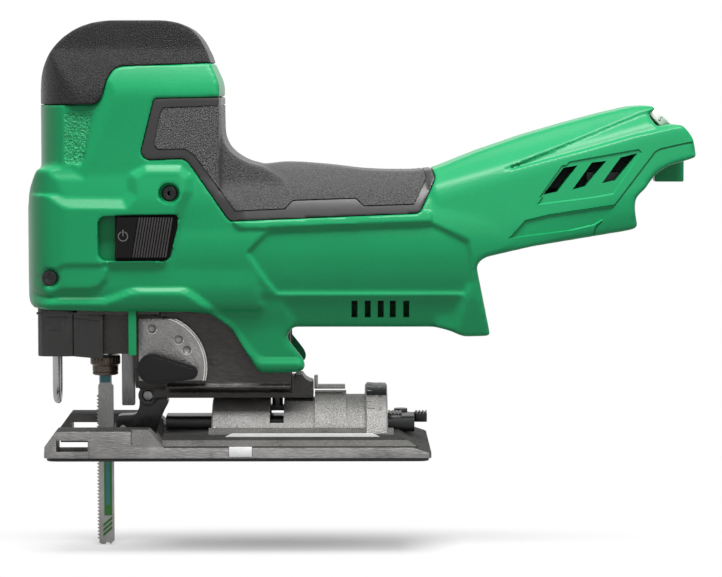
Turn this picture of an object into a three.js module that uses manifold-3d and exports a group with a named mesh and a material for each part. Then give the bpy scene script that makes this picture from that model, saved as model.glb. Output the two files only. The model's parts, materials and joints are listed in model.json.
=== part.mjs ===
// A cordless barrel-grip jigsaw without its battery, in millimetres.
// +Z is up, the blade is towards -X and the tail towards +X. The photographed side faces -Y.
// The origin is on the underside of the sole, below the saddle. The tool tilts about the X axis.

import * as THREE from "three";
import { mergeVertices } from "three/addons/utils/BufferGeometryUtils.js";
import Module from "manifold-3d";

const wasm = await Module();
wasm.setup();

// Sizes that several pieces share
const tailReach = 200; // from the sole's middle to the end of the tail
const headReach = 93.2; // from the sole's middle forward to the front of the head
const capTop = 189; // from the sole's underside to the top of the cap
const bodyHalfWidth = 32.5;
const skin = 2.6; // thickness of the rubber over the housing
const seam = 0.3; // gap where two pieces meet
const runningGap = 0.4; // gap round a piece that moves
const overrun = 2; // how far a cut runs past the face that it opens
const weld = 0.0001; // vertices closer than this are one
const farOut = 400; // longer than the whole tool, for cutting it in two
const coarse = 16; // sides of a small round piece
const fine = 28; // sides of a large one

const sole = {
  front: -83.4,
  rear: 82.5,
  halfWidth: 39,
  cornerRadius: 5,
  shoeThickness: 1.2,
  shoeMargin: 0.8,
  rimTop: 6,
  armTop: 13,
  armTopFront: -78.7,
  armTopRear: -38.9,
  armFootRear: -32,
  armBevel: 6,
  armBevelFront: -46,
  openingHalfWidth: 24,
  openingRear: -36,
  throatHalfWidth: 17.5,
  throatRear: -34.2,
  plateauTop: 10.2,
  plateauHalfWidth: 27.5,
  plateauFootHalfWidth: 33.4,
  plateauFront: -33,
  plateauRear: 69,
  plateauFootRear: 80,
  slotFront: -77.9,
  slotRear: -64.4,
  slotLow: 4.4,
  slotHigh: 9.2,
  pocketHalfWidth: 9,
  pocketInner: 11,
  pocketFront: -18,
  pocketRear: 58,
  pocketTop: 7,
};

const saddle = {
  front: -12.5,
  shoulder: 32.3,
  grooveFront: 45.8,
  ringFront: 54.4,
  rear: 64,
  boreRadius: 20.6,
  frontRadius: 23.4,
  rearRadius: 26.9,
  grooveRadius: 24.5,
  ringRadius: 29.3,
  slotFront: 12.8,
  slotRear: 18.8,
  slotHalfAngle: 0.92,
};

const duct = {
  front: -33,
  rear: 76,
  collarLength: 5.7,
  collarInset: 5.6,
  halfWidth: 8,
  low: 8.6,
  high: 15.7,
  wall: 1,
  collarGrowth: 1.3,
};

const lockLever = {
  x: 70.5,
  y: 17,
  hubRadius: 5,
  low: 10.6,
  high: 14.3,
  armHalfWidth: 2.6,
  armEnd: 79,
  gripEnd: 82.2,
  gripHalfWidth: 4,
  ribCount: 4,
  ribHeight: 0.7,
  boltRadius: 1.8,
  boltFoot: 3,
  boltHeadRadius: 3.4,
  boltHeadHeight: 1.6,
};

const motor = {
  z: 88,
  front: -8,
  rear: 34,
  outerRadius: 23,
  gapRadius: 13.2,
  rotorRadius: 12.6,
  shaftRadius: 2.5,
  shaftFront: -46.6,
  shaftRear: 65.3,
  fanFront: 44,
  fanRear: 52,
  fanRadius: 21,
  fanDisc: 1.6,
  fanHubRadius: 6,
  vaneCount: 9,
  vaneThickness: 1.4,
  rearBearingFront: 60,
  bearingLength: 5.2,
  bearingRadius: 8,
};

const gearing = {
  module: 1,
  pinionTeeth: 8,
  wheelTeeth: 40,
  addendum: 0.45,
  dedendum: 0.8,
  rootShare: 0.46,
  tipShare: 0.24,
  wheelPhase: 0.5,
  wheelFront: -46.5,
  wheelRear: -41,
  hubRadius: 4.8,
  crankRadius: 13,
  crankRise: 4,
  pinRadius: 2.8,
  pinFront: -50.6,
};

const plunger = {
  x: -60,
  radius: 4,
  low: 42.4,
  high: 146,
  yokeHalfLength: 20,
  yokeHalfHeight: 5.5,
  yokeRear: -51,
  yokeDepth: 4.5,
  yokeHubHalfWidth: 6.5,
  yokeHubFront: -66,
  yokeEndWall: 3,
};

const bush = {
  radius: 6,
  lowerFrom: 53,
  lowerTo: 66,
  upperFrom: 134,
  upperTo: 145,
};

const clamp = {
  low: 33.5,
  step: 38,
  high: 42.1,
  sleeveRadius: 6.6,
  sleeveLowRadius: 5.7,
  bladeSlotTop: 41,
};

const blade = {
  front: -63.3,
  rear: -56.5,
  low: -42,
  shoulder: 29.5,
  shankFront: -62.7,
  shankRear: -57.3,
  shankTop: 40.6,
  thickness: 1.3,
  toothDepth: 1.1,
  toothPitch: 2.5,
  toothTop: 24,
  tipNotch: 1.6,
};

const gearCase = {
  front: -70,
  rear: -34.5,
  rearWallFront: -39,
  halfWidth: 25.3,
  cavityHalfWidth: 22,
  low: 62,
  floorTop: 68,
  roofLow: 133,
  high: 146,
  frontSpace: -88,
  domeRear: -19.5,
  domeTop: 177,
  snoutFront: -70,
  snoutRear: -45,
  snoutHalfWidth: 15,
  snoutLow: 44,
  clampRecessTop: 52.6,
  lowerFront: -46,
  lowerRear: 22,
  lowerHalfWidth: 19,
  lowerLow: 28.4,
  lowerHigh: 64,
  lowerWall: 3.5,
  lowerFloor: 33,
  lowerCeiling: 59,
  bevelRear: -32,
  bevelRise: 18.8,
  railFront: -40.8,
  railRear: 31.7,
  railHalfWidth: 8,
  railLow: 23.8,
  lugTop: 34.1,
  cheekRadius: 4.4,
  cheekInner: 5,
  cheekOuter: 7.5,
};

const railBolt = {
  x: 15.8,
  radius: 2.4,
  headRadius: 5,
  headHeight: 3.5,
  plateOuter: 20.2,
  plateInner: 17.9,
  plateHalfAngle: 0.15,
  plateFront: 4,
  plateRear: 28,
};

const holder = {
  x: -40.8,
  z: 24.9,
  bossRadius: 4.2,
  pinRadius: 2.1,
  halfWidth: 4.5,
  rollerX: -52.1,
  rollerZ: 10,
  rollerRadius: 4,
  rollerHalfWidth: 2,
  rollerGroove: 0.6,
  rollerGrooveHalfWidth: 0.9,
  rollerPinRadius: 1.5,
  forkRear: -47.6,
  forkTop: 14.6,
};
// The holder's outline, as shares of the way from its pivot to the roller (across, down)
const holderShares = [
  [0.35, -0.04],
  [0.35, 0.36],
  [0.5, 0.6],
  [1.2, 0.62],
  [1.28, 0.8],
  [1.24, 1.08],
  [1.12, 1.25],
  [-0.2, 1.25],
  [-0.28, 1.09],
  [-0.56, 0.54],
  [-0.8, 0.2],
  [-0.62, 0.06],
];

const pushBar = {
  front: -52.6,
  rear: -47,
  halfWidth: 3,
  low: 20,
  high: 90,
};

const orbit = {
  x: -37.4,
  z: 38.7,
  plateFront: -43.8,
  plateLow: 32.8,
  plateTop: 60,
  plateRadius: 23.4,
  plateThickness: 2.5,
  dimpleRadius: 2.2,
  dimpleDepth: 1.2,
  dimpleReach: 16.6,
  dimpleAngles: [1.606, 0.838, 0.482],
  hubRadius: 5.9,
  tipRadius: 3,
  tipReach: 16.4,
  leverThickness: 5.9,
  shaftRadius: 3.8,
  shaftEnd: -12,
};

const nose = {
  front: -88,
  rear: -70.3,
  halfWidth: 19,
  low: 43.3,
  high: 64,
  cornerRadius: 5,
  wall: 3,
  hollowFront: -84,
  hollowLow: 51,
};

const guard = {
  x: -81,
  radius: 1.7,
  halfSpan: 5,
  low: 20.6,
  high: 49.5,
  bendSteps: 6,
  pathSteps: 14,
  lengthSteps: 24,
};

const slider = {
  front: -53,
  rear: -29,
  topRear: -27,
  low: 87,
  high: 104.5,
  proud: 1.1,
  flangeFront: -59.5,
  flangeRear: -22.6,
  flangeLow: 82.8,
  flangeHigh: 107.8,
  flangeThickness: 1.9,
  travel: 6.5,
  openingFront: -60.2,
  openingRear: -25.3,
  openingLow: 85,
  openingHigh: 106,
  pocketInset: 6.1,
  ribCount: 7,
  ribDepth: 0.8,
  ribWidth: 1.3,
  ribbedShare: 0.62,
};

// Where each housing screw lies, as shares of the head's reach and of the cap's height
const screwShares = [
  { name: "upper_screw", across: -0.3176, up: 0.6053 },
  { name: "lower_screw", across: -0.8712, up: 0.4132 },
];
const screws = screwShares.map(({ name, across, up }) => ({
  name,
  x: across * headReach,
  z: up * capTop,
}));
const screw = {
  headRadius: 3.5,
  headFace: -29.2,
  headThickness: 2.6,
  shaftRadius: 2,
  end: 12,
  recessRadius: 4.3,
};

const dial = {
  xShare: 0.914,
  zShare: 0.7712,
  lean: 0.785,
  radius: 7,
  thickness: 4,
  shaftRadius: 1.6,
  shaftLength: 4,
  potRadius: 4.5,
  potLength: 5,
};

const battery = {
  frontShare: 0.83,
  rearShare: 1.025,
  halfWidth: 24,
  low: 103.5,
  high: 125.5,
  railLow: 111,
  railHigh: 114.5,
  railFrontShare: 0.845,
  railRearShare: 0.89,
  railWidth: 3,
  blockFrontShare: 0.75,
  blockHalfWidth: 19,
  blockLow: 104.5,
  blockHigh: 123,
  contactFrontShare: 0.79,
  contactReachShare: 0.875,
  contactThickness: 0.9,
  contactLow: 107,
  contactHigh: 119,
};
const contacts = [
  { name: "contact_plus", share: -0.72 },
  { name: "contact_signal_a", share: -0.24 },
  { name: "contact_signal_b", share: 0.24 },
  { name: "contact_minus", share: 0.72 },
];

// The slim tab of the housing beside each side of the gear case
const tab = { front: -49.4, rear: -46, thickness: 3, low: 42.3, high: 70 };
const pointer = { rear: 45.6, halfWidth: 3, low: 27.3, high: 28.9, heelTop: 33 };
const controller = { frontShare: 0.52, rearShare: 0.71, halfWidth: 20, low: 100, high: 112, corner: 2 };
const switchBody = { front: -24.4, rear: -13, halfWidth: 10, low: 119, high: 135 };

const vents = {
  first: 48.4,
  pitch: 5.72,
  count: 5,
  width: 2.7,
  low: 58.6,
  high: 66,
  tailLean: 5.6,
  tailHeight: 11,
  tailWidth: 6.2,
};
// Where each slanted tail vent's lower corner lies, as shares of the tail's reach and the cap's height
const tailVentShares = [
  [0.678, 0.599],
  [0.742, 0.612],
  [0.805, 0.625],
];

// The head's side outline: every point is a share of the head's reach and of the cap's height
const headSideShares = [
  [-0.936, 0.66],
  [-0.935, 0.85],
  [-0.91, 0.915],
  [-0.826, 0.972],
  [-0.695, 0.999],
  [-0.337, 0.999],
  [-0.248, 0.988],
  [-0.179, 0.959],
  [-0.129, 0.914],
  [-0.083, 0.85],
  [-0.079, 0.736],
  [-0.059, 0.71],
  [0.064, 0.676],
  [0.064, 0.34],
  [-0.962, 0.34],
  [-0.998, 0.36],
  [-1, 0.567],
  [-0.983, 0.588],
  [-0.983, 0.61],
];
// The barrel's and the tail's: shares of the tail's reach and of the cap's height
const barrelSideShares = [
  [-0.15, 0.68],
  [-0.037, 0.736],
  [-0.0275, 0.71],
  [-0.0065, 0.688],
  [0.0495, 0.667],
  [0.1365, 0.672],
  [0.262, 0.657],
  [0.3745, 0.654],
  [0.4245, 0.659],
  [0.511, 0.696],
  [0.62, 0.69],
  [0.6285, 0.483],
  [0.5305, 0.46],
  [0.511, 0.447],
  [0.511, 0.434],
  [0.5425, 0.277],
  [0.483, 0.275],
  [0.4235, 0.297],
  [0.1185, 0.297],
  [0.096, 0.27],
  [0.134, 0.205],
  [0.117, 0.18],
  [0.024, 0.182],
  [-0.1085, 0.34],
  [-0.15, 0.34],
];
const tailSideShares = [
  [0.4245, 0.659],
  [0.511, 0.696],
  [0.613, 0.734],
  [0.786, 0.786],
  [0.8565, 0.803],
  [0.9075, 0.805],
  [0.9155, 0.796],
  [0.892, 0.784],
  [0.9115, 0.751],
  [0.943, 0.761],
  [0.9665, 0.763],
  [0.988, 0.734],
  [0.998, 0.686],
  [0.9625, 0.678],
  [0.9075, 0.651],
  [0.885, 0.617],
  [0.8645, 0.597],
  [0.8625, 0.572],
  [0.8705, 0.526],
  [0.8525, 0.522],
  [0.6285, 0.483],
  [0.5305, 0.46],
  [0.49, 0.46],
  [0.4245, 0.55],
];
// The zones that rubber covers: the cap's as the head's outline, the grip's as the barrel's
const capZoneShares = [
  [-1.073, 0.807],
  [-0.671, 0.806],
  [-0.63, 0.819],
  [-0.606, 0.862],
  [-0.574, 0.887],
  [-0.538, 0.893],
  [0, 0.9],
  [0, 1.06],
  [-1.073, 1.06],
];
const gripZoneShares = [
  [-0.178, 0.819],
  [-0.1815, 0.812],
  [-0.2095, 0.696],
  [-0.1985, 0.681],
  [-0.1175, 0.683],
  [-0.1065, 0.674],
  [-0.0185, 0.542],
  [0.388, 0.559],
  [0.4225, 0.638],
  [0.4225, 0.72],
  [0.1, 0.75],
  [0.025, 0.822],
];
// The plan outline of the head: shares of its reach and of the body's half width
const headPlanShares = [
  [-1, -0.36],
  [-0.944, -0.78],
  [-0.805, -1],
  [-0.322, -1],
  [-0.15, -0.84],
  [-0.071, -0.4],
  [-0.071, 0.4],
  [-0.15, 0.84],
  [-0.322, 1],
  [-0.805, 1],
  [-0.944, 0.78],
  [-1, 0.36],
];
// Cross-sections: half of each, as shares of the body's half width and of the cap's height
const headSectionShares = [
  [0.88, 0.33],
  [0.97, 0.38],
  [1, 0.42],
  [1, 0.62],
  [0.96, 0.8],
  [0.93, 0.84],
  [0.85, 0.876],
  [0.72, 0.924],
  [0.49, 0.966],
  [0.19, 0.997],
];
const barrelSectionShares = [
  [0.72, 0.17],
  [0.78, 0.25],
  [0.88, 0.32],
  [0.98, 0.42],
  [0.98, 0.53],
  [0.86, 0.6],
  [0.6, 0.655],
  [0.3, 0.74],
];
// The tail's section hangs from its sloping top line: shares of the half width, both ways
const tailSectionShares = [
  [0.55, 0],
  [0.85, -0.16],
  [0.96, -0.42],
  [0.96, -1.1],
  [0.86, -1.9],
];
const tailSlope = 0.278;
// The narrower front of the upper head, as shares of the half width, of the cap's height and of
// the head's reach. Its ramp behind leans back by so much for each millimetre of height.
const setBack = {
  floorShare: 0.85,
  sillShare: 1.02,
  sillLevelShare: 0.603,
  floorLevelShare: 0.663,
  topLevelShare: 0.808,
  rampFrontShare: -0.719,
  rampRearShare: -0.579,
  leanLevelShare: 0.722,
  lean: 0.345,
};
// Roundings of those outlines' corners
const rounding = { headSide: 4, headPlan: 8, section: 5, barrelSide: 2 };
const cornerShare = 0.45; // most of an edge that one rounded corner takes
const hexSides = 6;

// Materials, with the colours of the photographed surfaces
function finish(color, roughness, metalness) {
  return new THREE.MeshStandardMaterial({ color, roughness, metalness });
}
const greenPlastic = finish(0x1f9b5c, 0.45, 0);
const blackRubber = finish(0x1d1e20, 0.8, 0);
const blackPlastic = finish(0x17181a, 0.5, 0);
const castAluminium = finish(0x8b8c8a, 0.45, 0.9);
const darkCasting = finish(0x2b2c2d, 0.5, 0.6);
const steel = finish(0x9a9b9d, 0.3, 1);
const bladeSteel = finish(0xb7c0c2, 0.3, 1);
const bronze = finish(0x6b5237, 0.4, 0.9);
const copper = finish(0xb0693a, 0.4, 0.9);
const whitePlastic = finish(0xe3e5e4, 0.5, 0);

// Solids and the ways to make them

function solidOf(geometry) {
  const bare = geometry.clone();
  bare.deleteAttribute("normal");
  bare.deleteAttribute("uv");
  const merged = mergeVertices(bare, weld);
  const triVerts = new Uint32Array(merged.index.array);
  const vertProperties = new Float32Array(merged.attributes.position.array);
  return new wasm.Manifold(new wasm.Mesh({ numProp: 3, vertProperties, triVerts }));
}

function joined(first, ...others) {
  return others.reduce((whole, other) => whole.add(other), first);
}

function cutBy(body, ...cutters) {
  return cutters.reduce((rest, cutter) => rest.subtract(cutter), body);
}

function block([x0, x1], [y0, y1], [z0, z1]) {
  const geometry = new THREE.BoxGeometry(x1 - x0, y1 - y0, z1 - z0);
  geometry.translate((x0 + x1) / 2, (y0 + y1) / 2, (z0 + z1) / 2);
  return solidOf(geometry);
}

// A cylinder along an axis, from one place on it to another
function rod(axis, radius, [from, to], centre, sides = coarse) {
  const geometry = new THREE.CylinderGeometry(radius, radius, to - from, sides);
  if (axis === "x") geometry.rotateZ(-Math.PI / 2);
  if (axis === "z") geometry.rotateX(Math.PI / 2);
  const middle = (from + to) / 2;
  geometry.translate(
    axis === "x" ? middle : centre.x,
    axis === "y" ? middle : centre.y,
    axis === "z" ? middle : centre.z,
  );
  return solidOf(geometry);
}

function ring(axis, outer, inner, [from, to], centre, sides = coarse) {
  const bore = rod(axis, inner, [from - overrun, to + overrun], centre, sides);
  return rod(axis, outer, [from, to], centre, sides).subtract(bore);
}

function between([ax, ay], [bx, by], share) {
  return [ax + (bx - ax) * share, ay + (by - ay) * share];
}

// A closed outline whose corners are rounded with one radius, or less on short edges
function roundedShape(points, radius = 0) {
  const shape = new THREE.Shape();
  points.forEach((point, i) => {
    const before = points[(i + points.length - 1) % points.length];
    const after = points[(i + 1) % points.length];
    const back = Math.hypot(before[0] - point[0], before[1] - point[1]);
    const ahead = Math.hypot(after[0] - point[0], after[1] - point[1]);
    const start = between(point, before, Math.min(radius / back, cornerShare));
    const end = between(point, after, Math.min(radius / ahead, cornerShare));
    if (i === 0) shape.moveTo(...start);
    else shape.lineTo(...start);
    if (radius > 0) shape.quadraticCurveTo(...point, ...end);
  });
  return shape;
}

// The same corners moved inwards by a margin, or outwards by a negative one
function inset(points, margin) {
  const turn = Math.sign(THREE.ShapeUtils.area(points.map(([x, y]) => new THREE.Vector2(x, y))));
  return points.map((point, i) => {
    const before = points[(i + points.length - 1) % points.length];
    const after = points[(i + 1) % points.length];
    const arriving = new THREE.Vector2(point[0] - before[0], point[1] - before[1]).normalize();
    const leaving = new THREE.Vector2(after[0] - point[0], after[1] - point[1]).normalize();
    const step = (margin * turn) / (1 + arriving.dot(leaving));
    return [
      point[0] - (arriving.y + leaving.y) * step,
      point[1] + (arriving.x + leaving.x) * step,
    ];
  });
}

function prism(shape, depth, corners = 3) {
  const settings = { depth, bevelEnabled: false, curveSegments: corners };
  return new THREE.ExtrudeGeometry(shape, settings);
}

// An outline in X and Z, carried along Y
function slabY(shape, [low, high], corners) {
  const geometry = prism(shape, high - low, corners);
  geometry.rotateX(Math.PI / 2);
  geometry.translate(0, high, 0);
  return solidOf(geometry);
}

// An outline in Y and Z, carried along X
function slabX(shape, [low, high], corners) {
  const geometry = prism(shape, high - low, corners);
  const turned = new THREE.Matrix4().makeBasis(
    new THREE.Vector3(0, 1, 0),
    new THREE.Vector3(0, 0, 1),
    new THREE.Vector3(1, 0, 0),
  );
  geometry.applyMatrix4(turned);
  geometry.translate(low, 0, 0);
  return solidOf(geometry);
}

// An outline in X and Y, carried along Z
function slabZ(shape, [low, high], corners) {
  const geometry = prism(shape, high - low, corners);
  geometry.translate(0, 0, low);
  return solidOf(geometry);
}

// Points from shares of two sizes
function sized(shares, width, height) {
  return shares.map(([x, y]) => [x * width, y * height]);
}

// A half section mirrored into a whole one
function mirrored(half) {
  return [...half, ...half.map(([y, z]) => [-y, z]).reverse()];
}

// A fan-shaped outline in Y and Z that opens upwards from the tilt axis
function fan(radius, halfAngle) {
  const shape = new THREE.Shape();
  shape.moveTo(0, 0);
  shape.lineTo(radius * Math.sin(halfAngle), radius * Math.cos(halfAngle));
  shape.lineTo(0, radius / Math.cos(halfAngle));
  shape.lineTo(-radius * Math.sin(halfAngle), radius * Math.cos(halfAngle));
  return shape;
}

function symmetric(halfWidth) {
  return [-halfWidth, halfWidth];
}

// Where the pieces in the tail lie, along X
const bayFront = battery.frontShare * tailReach;
const bayRear = battery.rearShare * tailReach;
const blockFront = battery.blockFrontShare * tailReach;
const contactFront = battery.contactFrontShare * tailReach;
const contactRear = battery.contactReachShare * tailReach;
const controllerFront = controller.frontShare * tailReach;
const controllerRear = controller.rearShare * tailReach;
const dialPlace = { x: dial.xShare * tailReach, z: dial.zShare * capTop };

const tiltAxis = { x: 0, y: 0, z: 0 };
const ownAxis = { x: 0, y: 0, z: 0 }; // of a piece that is made at the origin and placed after
const tool = new THREE.Group();

function addPiece(name, solid, material, group = tool) {
  const made = solid.getMesh();
  const geometry = new THREE.BufferGeometry();
  geometry.setAttribute("position", new THREE.BufferAttribute(made.vertProperties, made.numProp));
  geometry.setIndex(new THREE.BufferAttribute(made.triVerts, 1));
  geometry.computeVertexNormals();
  const mesh = new THREE.Mesh(geometry, material);
  mesh.name = name;
  group.add(mesh);
  return mesh;
}

// The sole: a cast plate whose fork runs either side of the blade

function solePlan(margin, low, high) {
  const s = sole;
  const half = s.halfWidth - margin;
  const outline = [
    [s.front + margin, -half],
    [s.rear - margin, -half],
    [s.rear - margin, half],
    [s.front + margin, half],
  ];
  const inner = s.openingHalfWidth + margin;
  const opening = block(
    [s.front - overrun, s.openingRear + margin],
    [-inner, inner],
    [low - overrun, high + overrun],
  );
  return slabZ(roundedShape(outline, s.cornerRadius), [low, high]).subtract(opening);
}

function solePlate() {
  const s = sole;
  const low = s.shoeThickness + seam;
  const side = [
    [s.front, low],
    [s.rear, low],
    [s.rear, s.rimTop],
    [s.armFootRear, s.rimTop],
    [s.armTopRear, s.armTop],
    [s.armTopFront, s.armTop],
    [s.front, s.rimTop],
  ];
  const rim = slabY(roundedShape(side), [-s.halfWidth, s.halfWidth]);
  const section = mirrored([
    [s.plateauFootHalfWidth, s.rimTop - seam],
    [s.plateauFootHalfWidth, s.rimTop],
    [s.plateauHalfWidth, s.plateauTop],
  ]);
  const run = [
    [s.plateauFront, low],
    [s.plateauFootRear, low],
    [s.plateauFootRear, s.rimTop],
    [s.plateauRear, s.plateauTop],
    [s.plateauFront, s.plateauTop],
  ];
  const plateau = slabX(roundedShape(section), [s.plateauFront, s.plateauFootRear]).intersect(
    slabY(roundedShape(run), [-s.halfWidth, s.halfWidth]),
  );
  const plan = solePlan(0, low, s.armTop);
  const throat = block(
    [s.openingRear - overrun, s.throatRear],
    symmetric(s.throatHalfWidth),
    [low - overrun, s.armTop + overrun],
  );
  const edge = s.halfWidth - s.armBevel;
  const edgeBevels = [-1, 1].map((side) =>
    slabX(
      roundedShape([
        [side * (s.halfWidth + overrun), s.armTop - s.armBevel - overrun],
        [side * (s.halfWidth + overrun), s.armTop + overrun],
        [side * (edge - overrun), s.armTop + overrun],
      ]),
      [s.armBevelFront, s.armFootRear],
    ),
  );
  const slots = [-1, 1].map((side) =>
    block(
      [s.slotFront, s.slotRear],
      [
        Math.min(side * (s.openingHalfWidth - overrun), side * (s.halfWidth + overrun)),
        Math.max(side * (s.openingHalfWidth - overrun), side * (s.halfWidth + overrun)),
      ],
      [s.slotLow, s.slotHigh],
    ),
  );
  const ductWay = duct.halfWidth + seam;
  const channel = block(
    [sole.front, sole.rear + overrun],
    [-ductWay, ductWay],
    [duct.low - seam, s.armTop + overrun],
  );
  const pockets = [-1, 1].map((side) => {
    const near = side * s.pocketInner;
    const far = side * (s.pocketInner + s.pocketHalfWidth);
    return block(
      [s.pocketFront, s.pocketRear],
      [Math.min(near, far), Math.max(near, far)],
      [low - overrun, s.pocketTop],
    );
  });
  const boltHole = rod(
    "z",
    lockLever.boltRadius + seam,
    [lockLever.boltFoot - seam, s.armTop + overrun],
    lockLever,
  );
  const cast = joined(rim, plateau).intersect(plan);
  return cutBy(cast, ...edgeBevels, ...slots, throat, channel, ...pockets, boltHole);
}

addPiece("sole_plate", solePlate(), castAluminium);
addPiece("sole_shoe", solePlan(sole.shoeMargin, 0, sole.shoeThickness), blackPlastic);

// The saddle: a half ring that the tool's rail tilts round, with the angle scale on its rear ring

function bevelSaddle() {
  const s = saddle;
  const steps = [
    [s.frontRadius, s.front, s.shoulder],
    [s.rearRadius, s.shoulder, s.grooveFront],
    [s.grooveRadius, s.grooveFront, s.ringFront],
    [s.ringRadius, s.ringFront, s.rear],
  ].map(([radius, from, to]) => rod("x", radius, [from, to], tiltAxis, fine));
  const bore = rod("x", s.boreRadius, [s.front - overrun, s.rear + overrun], tiltAxis, fine);
  const below = block(
    [s.front - overrun, s.rear + overrun],
    [-s.ringRadius - overrun, s.ringRadius + overrun],
    [-s.ringRadius - overrun, sole.plateauTop + seam],
  );
  const slot = slabX(fan(s.ringRadius, s.slotHalfAngle), [s.slotFront, s.slotRear]);
  return cutBy(joined(...steps), bore, below, slot);
}

addPiece("bevel_saddle", bevelSaddle(), castAluminium);

// The dust duct: a flat tube under the saddle, from behind the blade to a collar at the rear

function dustDuct() {
  const d = duct;
  const tube = block([d.front, d.rear], [-d.halfWidth, d.halfWidth], [d.low, d.high]);
  const wide = d.halfWidth - seam;
  const collarHeight = [d.low, d.high + d.collarGrowth];
  const collarRear = d.rear - d.collarInset;
  const collar = block([collarRear - d.collarLength, collarRear], [-wide, wide], collarHeight);
  const bore = block(
    [d.front - overrun, d.rear + overrun],
    [-d.halfWidth + d.wall, d.halfWidth - d.wall],
    [d.low + d.wall, d.high - d.wall],
  );
  return joined(tube, collar).subtract(bore);
}

addPiece("dust_duct", dustDuct(), blackPlastic);

// The lock lever turns on its bolt at the rear of the sole

function lockLeverSolid() {
  const l = lockLever;
  const hub = rod("z", l.hubRadius, [l.low, l.high], l);
  const arm = block([l.x, l.armEnd], [l.y - l.armHalfWidth, l.y + l.armHalfWidth], [l.low, l.high]);
  const grip = block(
    [l.armEnd - l.armHalfWidth, l.gripEnd],
    [l.y - l.gripHalfWidth, l.y + l.gripHalfWidth],
    [l.low, l.high],
  );
  const pitch = (l.gripEnd - l.armEnd + l.armHalfWidth) / l.ribCount;
  const ribs = Array.from({ length: l.ribCount }, (_, i) => {
    const from = l.armEnd - l.armHalfWidth + pitch * i;
    return block(
      [from, from + pitch / 2],
      [l.y - l.gripHalfWidth, l.y + l.gripHalfWidth],
      [l.high - l.ribHeight, l.high + l.ribHeight],
    );
  });
  const hole = rod("z", l.boltRadius + runningGap, [l.low - overrun, l.high + overrun], l);
  return joined(hub, arm, grip, ...ribs).subtract(hole);
}

function lockBolt() {
  const l = lockLever;
  const headLow = l.high + runningGap;
  const shaft = rod("z", l.boltRadius, [l.boltFoot, headLow + l.boltHeadHeight / 2], l);
  const headSpan = [headLow, headLow + l.boltHeadHeight];
  return shaft.add(rod("z", l.boltHeadRadius, headSpan, l, hexSides));
}

addPiece("lock_lever", lockLeverSolid(), blackPlastic);
addPiece("lock_bolt", lockBolt(), steel);

// The tool's body: one outer form, and the same form set in by the rubber's thickness

function headForm(margin) {
  const side = inset(sized(headSideShares, headReach, capTop), margin);
  const plan = inset(sized(headPlanShares, headReach, bodyHalfWidth), margin);
  const section = inset(mirrored(sized(headSectionShares, bodyHalfWidth, capTop)), margin);
  return slabY(roundedShape(side, rounding.headSide), symmetric(bodyHalfWidth), 2)
    .intersect(slabZ(roundedShape(plan, rounding.headPlan), [0, capTop]))
    .intersect(slabX(roundedShape(section, rounding.section), symmetric(tailReach)));
}

function barrelForm(margin) {
  const side = inset(sized(barrelSideShares, tailReach, capTop), margin);
  const section = inset(mirrored(sized(barrelSectionShares, bodyHalfWidth, capTop)), margin);
  return slabY(roundedShape(side, rounding.barrelSide), symmetric(bodyHalfWidth), 2).intersect(
    slabX(roundedShape(section, rounding.section), symmetric(tailReach)),
  );
}

function tailForm() {
  const side = sized(tailSideShares, tailReach, capTop);
  const section = mirrored(sized(tailSectionShares, bodyHalfWidth, bodyHalfWidth));
  const hung = prism(roundedShape(section, rounding.section), tailReach);
  const upright = new THREE.Matrix4().makeBasis(
    new THREE.Vector3(0, 1, 0),
    new THREE.Vector3(0, 0, 1),
    new THREE.Vector3(1, 0, 0),
  );
  hung.applyMatrix4(upright);
  hung.rotateY(-tailSlope);
  const [startX, startZ] = sized([tailSideShares[0]], tailReach, capTop)[0];
  hung.translate(startX, 0, startZ);
  return slabY(roundedShape(side, rounding.barrelSide), symmetric(bodyHalfWidth), 2).intersect(
    solidOf(hung),
  );
}

function gripForm(margin) {
  return joined(headForm(margin), barrelForm(margin));
}

function zone(shares, reach, margin) {
  const points = inset(sized(shares, reach, capTop), margin);
  return slabY(roundedShape(points), symmetric(farOut));
}

// The slopes that lead into the set-back front of the upper head, on one side
function headSetBack(side) {
  const b = setBack;
  const floor = side * b.floorShare * bodyHalfWidth;
  const [sillLevel, floorLevel, topLevel, leanLevel] = [
    b.sillLevelShare,
    b.floorLevelShare,
    b.topLevelShare,
    b.leanLevelShare,
  ].map((share) => share * capTop);
  const section = [
    [side * b.sillShare * bodyHalfWidth, sillLevel],
    [floor, floorLevel],
    [floor, topLevel],
    [side * farOut, topLevel],
    [side * farOut, sillLevel],
  ];
  const plan = [
    [-farOut, floor],
    [b.rampFrontShare * headReach, floor],
    [b.rampRearShare * headReach, side * bodyHalfWidth],
    [b.rampRearShare * headReach, side * farOut],
    [-farOut, side * farOut],
  ];
  const leaning = new THREE.Matrix4().makeShear(0, 0, 0, 0, b.lean, 0);
  const ramp = slabZ(roundedShape(plan), [0, capTop])
    .transform(leaning.toArray())
    .translate([-b.lean * leanLevel, 0, 0]);
  return slabX(roundedShape(section), [-farOut, 0]).intersect(ramp);
}

const outerForm = gripForm(0).add(tailForm());
const underRubber = gripForm(skin);
const coreForm = gripForm(skin + seam);
const uncovered = cutBy(
  outerForm,
  zone(capZoneShares, headReach, -seam),
  zone(gripZoneShares, tailReach, -seam),
);
const shellForm = cutBy(uncovered.add(coreForm), headSetBack(-1), headSetBack(1));

const leftHalf = block(symmetric(farOut), [-farOut, -seam / 2], symmetric(farOut));
const rightHalf = block(symmetric(farOut), [seam / 2, farOut], symmetric(farOut));

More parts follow.
